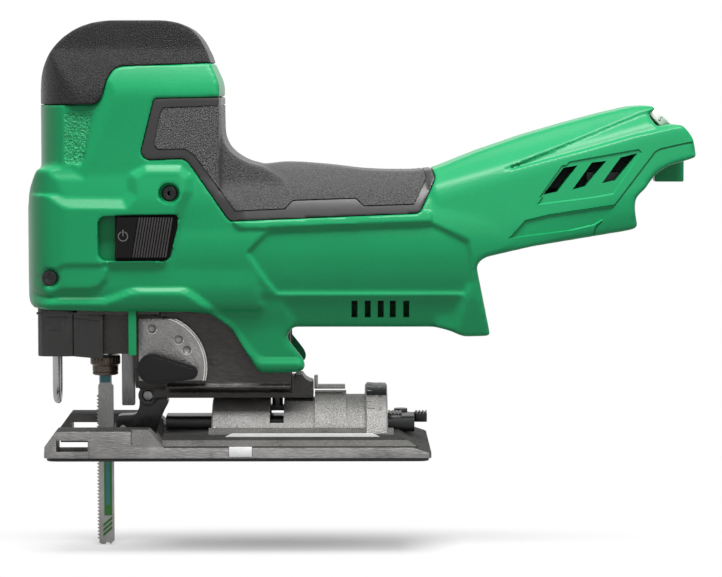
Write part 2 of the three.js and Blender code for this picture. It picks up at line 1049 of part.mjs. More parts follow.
const capSkin = outerForm.intersect(zone(capZoneShares, headReach, 0)).subtract(underRubber);
addPiece("head_cap", capSkin, blackRubber);
const gripSkin = outerForm.intersect(zone(gripZoneShares, tailReach, 0)).subtract(underRubber);
addPiece("grip_left", gripSkin.intersect(leftHalf), blackRubber);
addPiece("grip_right", gripSkin.intersect(rightHalf), blackRubber);

// Pieces inside the housing, each with the space that it needs

const axleSpacing = (gearing.module * (gearing.pinionTeeth + gearing.wheelTeeth)) / 2;
const gearAxis = { y: 0, z: motor.z + axleSpacing };
const motorAxis = { y: 0, z: motor.z };
const plungerAxis = { x: plunger.x, y: 0 };
const yokeZ = gearAxis.z + gearing.crankRise;

// Space round the gear case, the plunger's headroom and the hollow dome
function headBays() {
  const g = gearCase;
  const wide = g.halfWidth + seam;
  const caseBay = block(
    [g.front - seam, g.rear + seam],
    symmetric(wide),
    [g.low - seam, g.high + seam],
  );
  const overScrew = screws[1].z + screw.recessRadius + overrun;
  const noseSpace = block([g.frontSpace, g.front], symmetric(nose.halfWidth), [overScrew, g.high]);
  const dome = block(
    [g.front - seam, g.domeRear],
    symmetric(g.snoutHalfWidth),
    [g.high, g.domeTop],
  );
  return [caseBay, noseSpace, dome];
}

// Space for the lower gear case, its rail and the push bar, which reach out below the housing
function lowerBays() {
  const g = gearCase;
  const wide = g.lowerHalfWidth + seam;
  return [
    block([g.lowerFront - seam, g.lowerRear + seam], symmetric(wide), [0, g.lowerHigh + seam]),
    block([g.front - seam, g.lowerFront], symmetric(wide), [0, g.low]),
    block([nose.front - seam, g.front], symmetric(nose.halfWidth + seam), [0, nose.high + seam]),
  ];
}

// Space for the motor, its fan and the wiring behind it
function barrelBays() {
  const m = motor;
  const bearingEnd = m.rearBearingFront + m.bearingLength;
  const cableWidth = symmetric(m.outerRadius - seam);
  const aroundMotor = [motorAxis.z - m.outerRadius, motorAxis.z + m.outerRadius];
  return [
    rod("x", m.bearingRadius + overrun, [gearCase.rear, m.front], motorAxis, coarse),
    rod("x", m.outerRadius + seam, [m.front - seam, m.rearBearingFront - overrun], motorAxis, fine),
    rod("x", m.bearingRadius + seam, [m.front, bearingEnd + seam], motorAxis, coarse),
    block([bearingEnd + overrun, controllerFront], cableWidth, aroundMotor),
    rod("x", m.shaftRadius + overrun, [m.front, bearingEnd + 2 * overrun], motorAxis, coarse),
    block([m.rear, controllerFront], cableWidth, [vents.low + seam, vents.high]),
  ];
}

// Space for the controller and the terminal block, and the bay that a battery slides into
function tailBays() {
  const c = controller;
  const b = battery;
  const controlSpace = block(
    [controllerFront - overrun, blockFront],
    symmetric(c.halfWidth + seam),
    [c.low - seam, c.high + c.corner + overrun],
  );
  const blockSpace = block(
    [blockFront - seam, bayFront + seam],
    symmetric(b.blockHalfWidth + seam),
    [b.blockLow - seam, b.blockHigh + seam],
  );
  const bay = block([bayFront, bayRear], symmetric(b.halfWidth), [b.low, b.high]);
  const railSpan = [b.railFrontShare * tailReach, b.railRearShare * tailReach];
  const rails = [-1, 1].map((side) => {
    const outer = side * b.halfWidth;
    const inner = side * (b.halfWidth - b.railWidth);
    return block(
      railSpan,
      [Math.min(outer, inner), Math.max(outer, inner)],
      [b.railLow, b.railHigh],
    );
  });
  return [controlSpace, blockSpace, cutBy(bay, ...rails)];
}

function switchBay() {
  const s = switchBody;
  return block(
    [s.front - seam, s.rear + seam],
    symmetric(s.halfWidth + seam),
    [s.low - seam, s.high + seam],
  );
}

// The opening and the pocket that the slide switch runs in, on the left side only
function sliderWay() {
  const s = slider;
  const pocketFloor = s.pocketInset - bodyHalfWidth;
  const flangeOuter = pocketFloor - runningGap - s.flangeThickness;
  const opening = block(
    [s.openingFront, s.openingRear],
    [-farOut, pocketFloor],
    [s.openingLow, s.openingHigh],
  );
  const pocket = block(
    [s.flangeFront - s.travel - runningGap, s.flangeRear + runningGap],
    [flangeOuter - runningGap, pocketFloor],
    [s.flangeLow - runningGap, s.flangeHigh + runningGap],
  );
  return [opening, pocket];
}

function screwHoles() {
  return screws.flatMap((place) => [
    rod("y", screw.shaftRadius + seam, [screw.headFace, screw.end + seam], place),
    rod("y", screw.recessRadius, [-farOut, screw.headFace + screw.headThickness + seam], place),
  ]);
}

function leaned(solid) {
  const turned = solid.rotate([0, THREE.MathUtils.radToDeg(dial.lean), 0]);
  return turned.translate([dialPlace.x, 0, dialPlace.z]);
}

function dialWay() {
  const d = dial;
  const half = d.thickness / 2 + runningGap;
  const wheelWay = rod("z", d.radius + runningGap, [-half, half], ownAxis, fine);
  const shaftWay = rod("z", d.shaftRadius + runningGap, [-half - d.shaftLength, 0], ownAxis);
  const potTop = -half - seam;
  const potWay = rod("z", d.potRadius + seam, [potTop - d.potLength - seam, 0], ownAxis);
  return [wheelWay, shaftWay, potWay].map(leaned);
}

function ventWays() {
  const v = vents;
  const upright = Array.from({ length: v.count }, (_, i) => {
    const from = v.first + i * v.pitch;
    return block([from, from + v.width], symmetric(farOut), [v.low, v.high]);
  });
  const slanted = sized(tailVentShares, tailReach, capTop).map(([x, z]) =>
    slabY(
      roundedShape([
        [x, z],
        [x + v.tailWidth, z + v.tailWidth / v.tailLean],
        [x + v.tailWidth + v.tailHeight, z + v.tailHeight + v.tailWidth / v.tailLean],
        [x + v.tailHeight, z + v.tailHeight],
      ]),
      symmetric(farOut),
    ),
  );
  return [...upright, ...slanted];
}

function fingerTab(side) {
  const inner = side * (gearCase.halfWidth + 2 * seam);
  const outer = inner + side * tab.thickness;
  return block(
    [tab.front, tab.rear],
    [Math.min(inner, outer), Math.max(inner, outer)],
    [tab.low, tab.high],
  );
}

function housing(half, side) {
  const hollows = [
    ...headBays(),
    ...lowerBays(),
    ...barrelBays(),
    ...tailBays(),
    switchBay(),
    ...screwHoles(),
    ...dialWay(),
    ...ventWays(),
  ];
  const oneSide = side < 0 ? sliderWay() : [];
  return cutBy(shellForm.intersect(half), ...hollows, ...oneSide).add(fingerTab(side));
}

addPiece("housing_left", housing(leftHalf, -1), greenPlastic);
addPiece("housing_right", housing(rightHalf, 1), greenPlastic);

// Housing screws, each made about its own axis and placed

for (const place of screws) {
  const face = screw.headFace;
  const neck = face + screw.headThickness;
  const head = rod("y", screw.headRadius, [face, neck], ownAxis, fine);
  const shaft = rod("y", screw.shaftRadius, [neck - seam, screw.end], ownAxis);
  const socketSpan = [face - overrun, face + screw.headThickness / 2];
  const socket = rod("y", screw.shaftRadius, socketSpan, ownAxis, hexSides);
  addPiece(place.name, head.add(shaft).subtract(socket), steel).position.set(place.x, 0, place.z);
}

// The motor: a stator held by the housing, and a rotor on a shaft that drives the gear

addPiece(
  "motor_stator",
  ring("x", motor.outerRadius, motor.gapRadius, [motor.front, motor.rear], motorAxis, fine),
  copper,
);
addPiece(
  "rotor_core",
  ring("x", motor.rotorRadius, motor.shaftRadius + seam, [motor.front, motor.rear], motorAxis),
  darkCasting,
);

// A toothed outline: tooth roots, flanks and tips as shares of the tooth's pitch
function toothedOutline(teeth, centre, phase) {
  const pitchRadius = (gearing.module * teeth) / 2;
  const root = pitchRadius - gearing.dedendum * gearing.module;
  const tip = pitchRadius + gearing.addendum * gearing.module;
  const points = [];
  for (let i = 0; i < teeth; i += 1) {
    const corners = [
      [root, -gearing.rootShare],
      [tip, -gearing.tipShare],
      [tip, gearing.tipShare],
      [root, gearing.rootShare],
    ];
    for (const [radius, share] of corners) {
      const angle = ((i + phase + share / 2) / teeth) * 2 * Math.PI;
      points.push([radius * Math.cos(angle), centre + radius * Math.sin(angle)]);
    }
  }
  return roundedShape(points);
}

const toothRun = [gearing.wheelFront, gearing.wheelRear];
const pinion = slabX(toothedOutline(gearing.pinionTeeth, motorAxis.z, 0), toothRun);
const shaft = rod("x", motor.shaftRadius, [motor.shaftFront, motor.shaftRear], motorAxis);
addPiece("motor_shaft", shaft.add(pinion), steel);

function coolingFan() {
  const m = motor;
  const disc = rod("x", m.fanRadius, [m.fanFront, m.fanFront + m.fanDisc], motorAxis, fine);
  const hub = rod("x", m.fanHubRadius, [m.fanFront, m.fanRear], motorAxis);
  const vanes = Array.from({ length: m.vaneCount }, (_, i) => {
    const half = m.vaneThickness / 2;
    const vane = new THREE.BoxGeometry(m.fanRear - m.fanFront, m.vaneThickness, m.fanRadius - half);
    vane.translate((m.fanFront + m.fanRear) / 2, 0, (m.fanRadius - half) / 2);
    vane.rotateX((i / m.vaneCount) * 2 * Math.PI);
    vane.translate(0, 0, motorAxis.z);
    return solidOf(vane);
  });
  const boreSpan = [m.fanFront - overrun, m.fanRear + overrun];
  const bore = rod("x", m.shaftRadius + seam, boreSpan, motorAxis);
  return joined(disc, hub, ...vanes).subtract(bore);
}

addPiece("cooling_fan", coolingFan(), blackPlastic);

const frontBearing = [gearCase.rearWallFront + seam, gearCase.rear - seam];
const rearBearing = [motor.rearBearingFront, motor.rearBearingFront + motor.bearingLength];
for (const [name, span] of [
  ["front_bearing", frontBearing],
  ["rear_bearing", rearBearing],
]) {
  const race = ring("x", motor.bearingRadius, motor.shaftRadius + seam, span, motorAxis, fine);
  addPiece(name, race, steel);
}

// The crank gear, its pin, and the plunger that the yoke lifts

const wheelOutline = toothedOutline(gearing.wheelTeeth, gearAxis.z, gearing.wheelPhase);
const gearWheel = slabX(wheelOutline, toothRun);
const hubSpan = [gearing.wheelRear - seam, gearCase.rear - seam];
const gearHub = rod("x", gearing.hubRadius, hubSpan, gearAxis);
addPiece("crank_gear", gearWheel.add(gearHub), steel);

const crankAside = Math.sqrt(gearing.crankRadius ** 2 - gearing.crankRise ** 2);
const crankPlace = { y: crankAside, z: yokeZ };
addPiece(
  "crank_pin",
  rod("x", gearing.pinRadius, [gearing.pinFront, gearing.wheelFront - seam], crankPlace),
  steel,
);

addPiece("plunger_rod", rod("z", plunger.radius, [plunger.low, plunger.high], plungerAxis), steel);

function plungerYoke() {
  const p = plunger;
  const z = [yokeZ - p.yokeHalfHeight, yokeZ + p.yokeHalfHeight];
  const plateFront = p.yokeRear - p.yokeDepth;
  const plate = block([plateFront, p.yokeRear], symmetric(p.yokeHalfLength), z);
  const hub = block([p.yokeHubFront, plateFront + seam], symmetric(p.yokeHubHalfWidth), z);
  const slotHalf = gearing.pinRadius + runningGap;
  const slot = block(
    [plateFront + 2 * seam, p.yokeRear + overrun],
    symmetric(p.yokeHalfLength - p.yokeEndWall),
    [yokeZ - slotHalf, yokeZ + slotHalf],
  );
  const bore = rod("z", p.radius + seam, [z[0] - overrun, z[1] + overrun], plungerAxis);
  return cutBy(joined(plate, hub), slot, bore);
}

addPiece("plunger_yoke", plungerYoke(), steel);

const bushes = [
  ["lower_bush", bush.lowerFrom, bush.lowerTo],
  ["upper_bush", bush.upperFrom, bush.upperTo],
];
for (const [name, from, to] of bushes) {
  addPiece(name, ring("z", bush.radius, plunger.radius + seam, [from, to], plungerAxis), bronze);
}

// The blade clamp: a slotted body under the rod inside a twisting sleeve, and the saw blade in it

function clampBody() {
  const slot = block(
    [blade.shankFront - seam, blade.shankRear + seam],
    symmetric(blade.thickness / 2 + seam),
    [clamp.low - overrun, clamp.bladeSlotTop],
  );
  const span = [clamp.low + seam, plunger.low - seam];
  return rod("z", plunger.radius, span, plungerAxis).subtract(slot);
}

function clampSleeve() {
  const bore = rod(
    "z",
    plunger.radius + seam,
    [clamp.low - overrun, clamp.high + overrun],
    plungerAxis,
  );
  const upper = rod("z", clamp.sleeveRadius, [clamp.step, clamp.high], plungerAxis, fine);
  const lower = rod("z", clamp.sleeveLowRadius, [clamp.low, clamp.step + seam], plungerAxis, fine);
  return joined(upper, lower).subtract(bore);
}

function sawBlade() {
  const b = blade;
  const teeth = Math.floor((b.toothTop - b.low) / b.toothPitch);
  const points = [
    [b.shankRear, b.shankTop],
    [b.shankFront, b.shankTop],
    [b.shankFront, b.shoulder],
    [b.front, b.shoulder],
    [b.front, b.toothTop],
  ];
  for (let i = 0; i < teeth; i += 1) {
    const z = b.toothTop - i * b.toothPitch;
    points.push([b.front + b.toothDepth, z - b.toothPitch / 2]);
    points.push([b.front, z - b.toothPitch]);
  }
  const lowest = b.toothTop - teeth * b.toothPitch;
  points.push([b.front + b.toothDepth, (lowest + b.low) / 2]);
  points.push([b.front + b.tipNotch, b.low]);
  points.push([b.rear - b.tipNotch, b.low]);
  points.push([b.rear, b.low + b.tipNotch]);
  points.push([b.rear, b.shoulder]);
  points.push([b.shankRear, b.shoulder]);
  return slabY(roundedShape(points), symmetric(b.thickness / 2));
}

addPiece("clamp_body", clampBody(), steel);
addPiece("clamp_sleeve", clampSleeve(), bronze);
addPiece("saw_blade", sawBlade(), bladeSteel);

// The gear case: an upper box that holds the drive, a lower box and a rail that rides the saddle

function gearCaseSolid() {
  const g = gearCase;
  const upper = block([g.front, g.rear], symmetric(g.halfWidth), [g.low, g.high]);
  const snoutWidth = symmetric(g.snoutHalfWidth);
  const lowerWidth = symmetric(g.lowerHalfWidth);
  const railWidth = symmetric(g.railHalfWidth);
  const snout = block([g.snoutFront, g.snoutRear], snoutWidth, [g.snoutLow, g.low + seam]);
  const lower = block([g.lowerFront, g.lowerRear], lowerWidth, [g.lowerLow, g.lowerHigh]);
  const rail = block([g.railFront, g.railRear], railWidth, [g.railLow, g.lowerLow + seam]);
  const lug = block([g.lowerRear, g.railRear], railWidth, [g.lowerLow, g.lugTop]);
  const cheeks = rod("y", g.cheekRadius, symmetric(g.cheekOuter), holder);
  const body = joined(upper, snout, lower, rail, lug, cheeks);

  const cavity = block(
    [g.front - overrun, g.rearWallFront],
    symmetric(g.cavityHalfWidth),
    [g.floorTop, g.roofLow],
  );
  const lowerCavity = block(
    [g.lowerFront + g.lowerWall, g.lowerRear + overrun],
    symmetric(g.lowerHalfWidth - g.lowerWall),
    [g.lowerFloor, g.lowerCeiling],
  );
  const bushBores = bushes.map(([, from, to]) =>
    rod("z", bush.radius + seam, [from - seam, to + seam], plungerAxis),
  );
  const rodWay = rod("z", plunger.radius + runningGap, [g.snoutLow, g.high + overrun], plungerAxis);
  const recessRadius = clamp.sleeveRadius + runningGap;
  const clampRecess = rod("z", recessRadius, [g.snoutLow - overrun, g.clampRecessTop], plungerAxis);
  const throughWall = [g.rearWallFront - overrun, g.rear + overrun];
  const gearBore = rod("x", gearing.hubRadius + seam, throughWall, gearAxis);
  const bearingBore = rod("x", motor.bearingRadius + seam, throughWall, motorAxis);
  const barWay = block(
    [pushBar.front - seam, pushBar.rear + seam],
    symmetric(pushBar.halfWidth + seam),
    [0, g.floorTop + overrun],
  );
  const holderWay = block(
    [g.lowerFront - overrun, holder.x + holder.bossRadius + 2 * overrun],
    symmetric(g.cheekInner),
    [0, holder.z + holder.bossRadius + runningGap],
  );
  const pinBore = rod("y", holder.pinRadius + seam, symmetric(g.cheekOuter + overrun), holder);
  const leverSpan = [-g.lowerHalfWidth - overrun, orbit.shaftEnd];
  const leverBore = rod("y", orbit.shaftRadius + seam, leverSpan, orbit);
  const boltPlace = { x: railBolt.x, y: 0 };
  const boltBore = rod("z", railBolt.radius + seam, [0, g.lowerFloor + overrun], boltPlace);
  const wedges = [-1, 1].map((side) =>
    slabX(
      roundedShape([
        [side * (g.lowerLow - g.bevelRise - overrun), g.lowerLow - overrun],
        [side * (g.lowerHalfWidth + overrun), g.lowerLow - overrun],
        [side * (g.lowerHalfWidth + overrun), g.lowerHalfWidth + g.bevelRise + overrun],
      ]),
      [g.lowerFront - overrun, g.bevelRear],
    ),
  );
  return cutBy(
    body, cavity, lowerCavity, ...bushBores, rodWay, clampRecess, gearBore, bearingBore,
    barWay, holderWay, pinBore, leverBore, boltBore, ...wedges,
  );
}

addPiece("gear_case", gearCaseSolid(), darkCasting);

// The bolt and the curved plate that pull the rail down onto the saddle

function railBoltSolid() {
  const r = railBolt;
  const place = { x: r.x, y: 0 };
  const seat = gearCase.lowerFloor + seam;
  const shaft = rod("z", r.radius, [r.plateInner + seam, seat + seam], place);
  return shaft.add(rod("z", r.headRadius, [seat, seat + r.headHeight], place, hexSides));
}

function clampPlate() {
  const r = railBolt;
  const span = [r.plateFront, r.plateRear];
  const hoop = ring("x", r.plateOuter, r.plateInner, span, tiltAxis, fine * 2);
  const sector = slabX(fan(r.plateOuter + overrun, r.plateHalfAngle), span);
  const hole = rod("z", r.radius + seam, [0, r.plateOuter + overrun], { x: r.x, y: 0 });
  return hoop.intersect(sector).subtract(hole);
}

addPiece("rail_bolt", railBoltSolid(), steel);
addPiece("clamp_plate", clampPlate(), steel);

// The angle pointer: a strip over the saddle, under the lug at the rail's rear end

function anglePointer() {
  const p = pointer;
  const heel = gearCase.railRear + seam;
  const strip = block([heel, p.rear], symmetric(p.halfWidth), [p.low, p.high]);
  const upright = block([heel, heel + p.high - p.low], symmetric(p.halfWidth), [p.low, p.heelTop]);
  return strip.add(upright);
}

addPiece("angle_pointer", anglePointer(), steel);

// The roller holder swings on its pin, and its roller backs the blade

const swing = new THREE.Vector2(holder.rollerX - holder.x, holder.z - holder.rollerZ);

function rollerHolder() {
  const h = holder;
  const outline = holderShares.map(([across, down]) => [
    h.x + across * swing.x,
    h.z - down * swing.y,
  ]);
  const plate = slabY(roundedShape(outline, h.rollerPinRadius), symmetric(h.halfWidth));
  const boss = rod("y", h.bossRadius, symmetric(h.halfWidth), holder);
  const fork = block(
    [blade.front, h.forkRear],
    symmetric(h.rollerHalfWidth + runningGap),
    [0, h.forkTop],
  );
  const roller = { x: h.rollerX, z: h.rollerZ };
  const pinHole = rod("y", h.pinRadius + seam, symmetric(h.halfWidth + overrun), holder);
  const rollerHole = rod("y", h.rollerPinRadius + seam, symmetric(h.halfWidth + overrun), roller);
  return cutBy(joined(plate, boss), fork, pinHole, rollerHole);
}

function guideRoller() {
  const h = holder;
  const hole = h.rollerPinRadius + runningGap;
  const disc = ring("y", h.rollerRadius, hole, symmetric(h.rollerHalfWidth), ownAxis, fine);
  const grooveFloor = h.rollerRadius - h.rollerGroove;
  const grooveWidth = symmetric(h.rollerGrooveHalfWidth);
  const groove = ring("y", h.rollerRadius + overrun, grooveFloor, grooveWidth, ownAxis, fine);
  return disc.subtract(groove);
}

addPiece("roller_holder", rollerHolder(), darkCasting);
addPiece("guide_roller", guideRoller(), steel).position.set(holder.rollerX, 0, holder.rollerZ);
const rollerPin = rod("y", holder.rollerPinRadius, symmetric(holder.halfWidth), ownAxis);
addPiece("roller_pin", rollerPin, steel).position.set(holder.rollerX, 0, holder.rollerZ);
const holderPin = rod("y", holder.pinRadius, symmetric(gearCase.cheekOuter), ownAxis);
addPiece("holder_pin", holderPin, steel).position.set(holder.x, 0, holder.z);

// The push bar comes down from under the crank gear to the holder's shoulder

addPiece(
  "push_bar",
  block(
    [pushBar.front, pushBar.rear],
    symmetric(pushBar.halfWidth),
    [pushBar.low, pushBar.high],
  ),
  steel,
);

// The orbit selector: a dished plate on the gear case, and a lever that turns on it

const plateFace = -gearCase.lowerHalfWidth - seam;
const leverFace = plateFace - orbit.plateThickness - runningGap;

function orbitPlate() {
  const o = orbit;
  const low = -Math.asin((o.z - o.plateLow) / o.plateRadius);
  const high = Math.asin((o.plateTop - o.z) / o.plateRadius);
  const shape = new THREE.Shape();
  shape.moveTo(o.plateFront, o.plateLow);
  shape.absarc(o.x, o.z, o.plateRadius, low, high);
  shape.lineTo(o.plateFront, o.plateTop);
  const plate = slabY(shape, [plateFace - o.plateThickness, plateFace], coarse);
  const dimples = o.dimpleAngles.map((angle) => {
    const place = {
      x: o.x + o.dimpleReach * Math.cos(angle),
      z: o.z + o.dimpleReach * Math.sin(angle),
    };
    const outer = plateFace - o.plateThickness;
    return rod("y", o.dimpleRadius, [outer - overrun, outer + o.dimpleDepth], place);
  });
  const bore = rod("y", o.shaftRadius + seam, [plateFace - farOut, 0], orbit);
  return cutBy(plate, bore, ...dimples);
}

function orbitLever() {
  const o = orbit;
  const spread = Math.acos((o.hubRadius - o.tipRadius) / o.tipReach);
  const shape = new THREE.Shape();
  shape.absarc(0, 0, o.hubRadius, spread, 2 * Math.PI - spread);
  shape.absarc(o.tipReach, 0, o.tipRadius, -spread, spread);
  const handle = slabY(shape, [leverFace - o.leverThickness, leverFace], coarse);
  const shaft = rod("y", o.shaftRadius, [leverFace - seam, o.shaftEnd - seam], ownAxis);
  return handle.add(shaft);
}

addPiece("orbit_plate", orbitPlate(), castAluminium);
addPiece("orbit_lever", orbitLever(), blackPlastic).position.set(orbit.x, 0, orbit.z);

// The black nose cover in front of the plunger, and the finger-guard wire in it

function noseCover() {
  const n = nose;
  const plan = [
    [n.front, -n.halfWidth],
    [n.rear, -n.halfWidth],
    [n.rear, n.halfWidth],
    [n.front, n.halfWidth],
  ];
  const outer = slabZ(roundedShape(plan, n.cornerRadius), [n.low, n.high]);
  const hollow = block(
    [n.hollowFront, n.rear + overrun],
    symmetric(n.halfWidth - n.wall),
    [n.hollowLow, n.high - n.wall],
  );
  const wireSpan = [n.low - overrun, n.hollowLow + overrun];
  const wireWays = [-1, 1].map((side) => {
    const place = { x: guard.x, y: side * guard.halfSpan };
    return rod("z", guard.radius + seam, wireSpan, place);
  });
  return cutBy(outer, hollow, ...wireWays);
}

function guardWire() {
  const g = guard;
  const bend = g.low + g.radius + g.halfSpan;
  const path = new THREE.CurvePath();
  const arc = Array.from({ length: g.bendSteps + 1 }, (_, i) => {
    const angle = (i / g.bendSteps) * Math.PI;
    return new THREE.Vector3(0, -g.halfSpan * Math.cos(angle), bend - g.halfSpan * Math.sin(angle));
  });
  const ends = [-1, 1].map((side) => new THREE.Vector3(0, side * g.halfSpan, g.high));
  const points = [ends[0], ...arc, ends[1]];
  points.slice(1).forEach((point, i) => path.add(new THREE.LineCurve3(points[i], point)));
  const section = new THREE.Shape();
  section.absarc(0, 0, g.radius, 0, 2 * Math.PI);
  const extrudePath = new THREE.CatmullRomCurve3(path.getSpacedPoints(g.pathSteps));
  const settings = { steps: g.lengthSteps, extrudePath, curveSegments: coarse / 2 };
  return solidOf(new THREE.ExtrudeGeometry(section, settings));
}

addPiece("nose_cover", noseCover(), blackPlastic);
addPiece("guard_wire", guardWire(), steel).position.set(guard.x, 0, 0);

// The slide switch, and the switch that it works

function switchSlider() {
  const s = slider;
  const inner = s.pocketInset - bodyHalfWidth - runningGap;
  const outer = inner - s.flangeThickness;
  const face = -bodyHalfWidth - s.proud;
  const button = slabY(
    roundedShape([
      [s.front, s.low],
      [s.rear, s.low],
      [s.topRear, s.high],
      [s.front, s.high],
    ], s.ribWidth),
    [face, outer + seam],
  );
  const flange = block([s.flangeFront, s.flangeRear], [outer, inner], [s.flangeLow, s.flangeHigh]);
  const ribbed = (s.rear - s.front) * s.ribbedShare;
  const pitch = ribbed / s.ribCount;
  const grooves = Array.from({ length: s.ribCount }, (_, i) => {
    const from = s.rear - ribbed + i * pitch;
    return block(
      [from, from + pitch - s.ribWidth],
      [face - overrun, face + s.ribDepth],
      [s.low - overrun, s.high + overrun],
    );
  });
  return cutBy(button, ...grooves).add(flange);
}

addPiece("switch_slider", switchSlider(), blackPlastic);
addPiece(
  "switch_body",
  block(
    [switchBody.front, switchBody.rear],
    symmetric(switchBody.halfWidth),
    [switchBody.low, switchBody.high],
  ),
  blackPlastic,
);

// The speed dial and the potentiometer under it

function speedDial() {
  const d = dial;
  const half = d.thickness / 2;
  const wheel = rod("z", d.radius, [-half, half], ownAxis, fine);
  const stem = rod("z", d.shaftRadius, [-half - d.shaftLength, 0], ownAxis);
  return joined(wheel, stem);
}

function dialPot() {
  const d = dial;
  const top = -d.thickness / 2 - runningGap - seam;
  return ring("z", d.potRadius, d.shaftRadius + runningGap, [top - d.potLength, top], ownAxis);
}

for (const [name, solid, material] of [
  ["speed_dial", speedDial(), whitePlastic],
  ["dial_pot", dialPot(), blackPlastic],
]) {
  const mesh = addPiece(name, solid, material);
  mesh.position.set(dialPlace.x, 0, dialPlace.z);
  mesh.rotation.y = dial.lean;
}

// The controller, and the terminal block that a battery plugs onto

addPiece(
  "controller",
  block(
    [controllerFront, controllerRear],
    symmetric(controller.halfWidth),
    [controller.low, controller.high],
  ),
  darkCasting,
);

function terminalBlock() {
  const b = battery;
  const body = block([blockFront, bayFront], symmetric(b.blockHalfWidth), [b.blockLow, b.blockHigh]);
  const slots = contacts.map(({ share }) => {
    const y = share * b.blockHalfWidth;
    const half = b.contactThickness / 2 + seam;
    return block(
      [contactFront - seam, bayFront + overrun],
      [y - half, y + half],
      [b.contactLow - seam, b.contactHigh + seam],
    );
  });
  return cutBy(body, ...slots);
}

addPiece("terminal_block", terminalBlock(), blackPlastic);
for (const { name, share } of contacts) {
  const half = battery.contactThickness / 2;
  const leaf = block(
    [contactFront, contactRear],
    [-half, half],
    [battery.contactLow, battery.contactHigh],
  );
  addPiece(name, leaf, copper).position.set(0, share * battery.blockHalfWidth, 0);
}

export default tool;
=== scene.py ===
import json
import math
import bmesh
import bpy
from mathutils import Matrix, Vector

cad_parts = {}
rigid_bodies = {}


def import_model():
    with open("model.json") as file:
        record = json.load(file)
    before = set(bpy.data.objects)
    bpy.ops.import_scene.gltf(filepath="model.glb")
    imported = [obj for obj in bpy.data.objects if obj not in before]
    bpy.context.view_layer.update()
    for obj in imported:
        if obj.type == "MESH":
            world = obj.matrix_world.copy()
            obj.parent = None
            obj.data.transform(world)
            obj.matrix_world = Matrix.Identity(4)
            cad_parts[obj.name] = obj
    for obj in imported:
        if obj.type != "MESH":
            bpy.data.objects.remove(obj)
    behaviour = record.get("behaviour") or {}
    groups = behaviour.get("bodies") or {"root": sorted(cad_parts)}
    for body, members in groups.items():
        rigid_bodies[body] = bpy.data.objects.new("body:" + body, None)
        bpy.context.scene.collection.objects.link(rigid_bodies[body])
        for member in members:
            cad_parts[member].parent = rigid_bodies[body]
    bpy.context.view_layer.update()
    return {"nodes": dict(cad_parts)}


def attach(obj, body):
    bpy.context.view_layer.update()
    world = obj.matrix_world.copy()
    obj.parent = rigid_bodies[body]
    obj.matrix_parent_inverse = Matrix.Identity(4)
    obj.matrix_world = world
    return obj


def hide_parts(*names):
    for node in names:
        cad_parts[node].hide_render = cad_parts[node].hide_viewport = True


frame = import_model()
nodes = frame["nodes"]


# The sole plate is one aluminium die casting. Its fork runs either side of the blade, its rim is
# ground flat along the sides, and slots across the two arms take the bar of a fence.
PLACES = {
    "x": lambda u, v, w: (w, u, v),
    "y": lambda u, v, w: (u, w, v),
    "z": lambda u, v, w: (u, v, w),
}


def rounded(points, radius, steps=5):
    """The corners of a flat outline, each turned into an arc of up to that radius."""
    made = []
    for i, corner in enumerate(points):
        here = Vector(corner)
        back, ahead = Vector(points[i - 1]) - here, Vector(points[(i + 1) % len(points)]) - here
        reach = min(radius, back.length * 0.45, ahead.length * 0.45)
        if reach < 0.05:
            made.append(tuple(here))
            continue
        start, end = here + back.normalized() * reach, here + ahead.normalized() * reach
        for k in range(steps + 1):
            t = k / steps
            made.append(tuple(start * (1 - t) ** 2 + here * (2 * t * (1 - t)) + end * t * t))
    return made


def slab(points, axis, low, high, corner=0.0, steps=5):
    """A flat outline in millimetres, carried along x, y or z from low to high."""
    bm = bmesh.new()
    outline = rounded(points, corner, steps) if corner else points
    face = bm.faces.new([bm.verts.new(PLACES[axis](u, v, low)) for u, v in outline])
    moved = bmesh.ops.extrude_face_region(bm, geom=[face])["geom"]
    verts = [g for g in moved if isinstance(g, bmesh.types.BMVert)]
    bmesh.ops.translate(bm, verts=verts, vec=PLACES[axis](0, 0, high - low))
    bmesh.ops.recalc_face_normals(bm, faces=bm.faces)
    return bm


def block(x, y, z, edge=0.0, steps=2):
    """A box between two places on each axis, with its edges rounded."""
    bm = bmesh.new()
    bmesh.ops.create_cube(bm, size=1)
    bmesh.ops.scale(bm, vec=(x[1] - x[0], y[1] - y[0], z[1] - z[0]), verts=bm.verts)
    bmesh.ops.translate(bm, vec=(sum(x) / 2, sum(y) / 2, sum(z) / 2), verts=bm.verts)
    if edge:
        bmesh.ops.bevel(bm, geom=bm.edges, offset=edge, segments=steps, profile=0.5,
                        affect="EDGES", material=-1)
    return bm


def rod(axis, radius, low, high, centre, sides=48, tip=None):
    """A round bar along an axis, or a taper where the tip has its own radius."""
    bm = bmesh.new()
    bmesh.ops.create_cone(bm, cap_ends=True, segments=sides, radius1=radius,
                          radius2=radius if tip is None else tip, depth=high - low)
    turn = {"x": Matrix.Rotation(math.pi / 2, 4, "Y"), "y": Matrix.Rotation(-math.pi / 2, 4, "X"),
            "z": Matrix.Identity(4)}[axis]
    place = Matrix.Translation(PLACES[axis](*centre, (low + high) / 2))
    bmesh.ops.transform(bm, matrix=place @ turn, verts=bm.verts)
    return bm


def placed(name, data):
    """A new object with that data, linked into the scene."""
    obj = bpy.data.objects.new(name, data)
    bpy.context.scene.collection.objects.link(obj)
    return obj


def solid(*parts):
    """One scratch object, in millimetres, of one or more bmeshes."""
    mesh = bpy.data.meshes.new("solid")
    whole = bmesh.new()
    for bm in parts:
        one = bpy.data.meshes.new("one")
        bm.to_mesh(one)
        bm.free()
        whole.from_mesh(one)
        bpy.data.meshes.remove(one)
    whole.to_mesh(mesh)
    whole.free()
    return placed("solid", mesh)


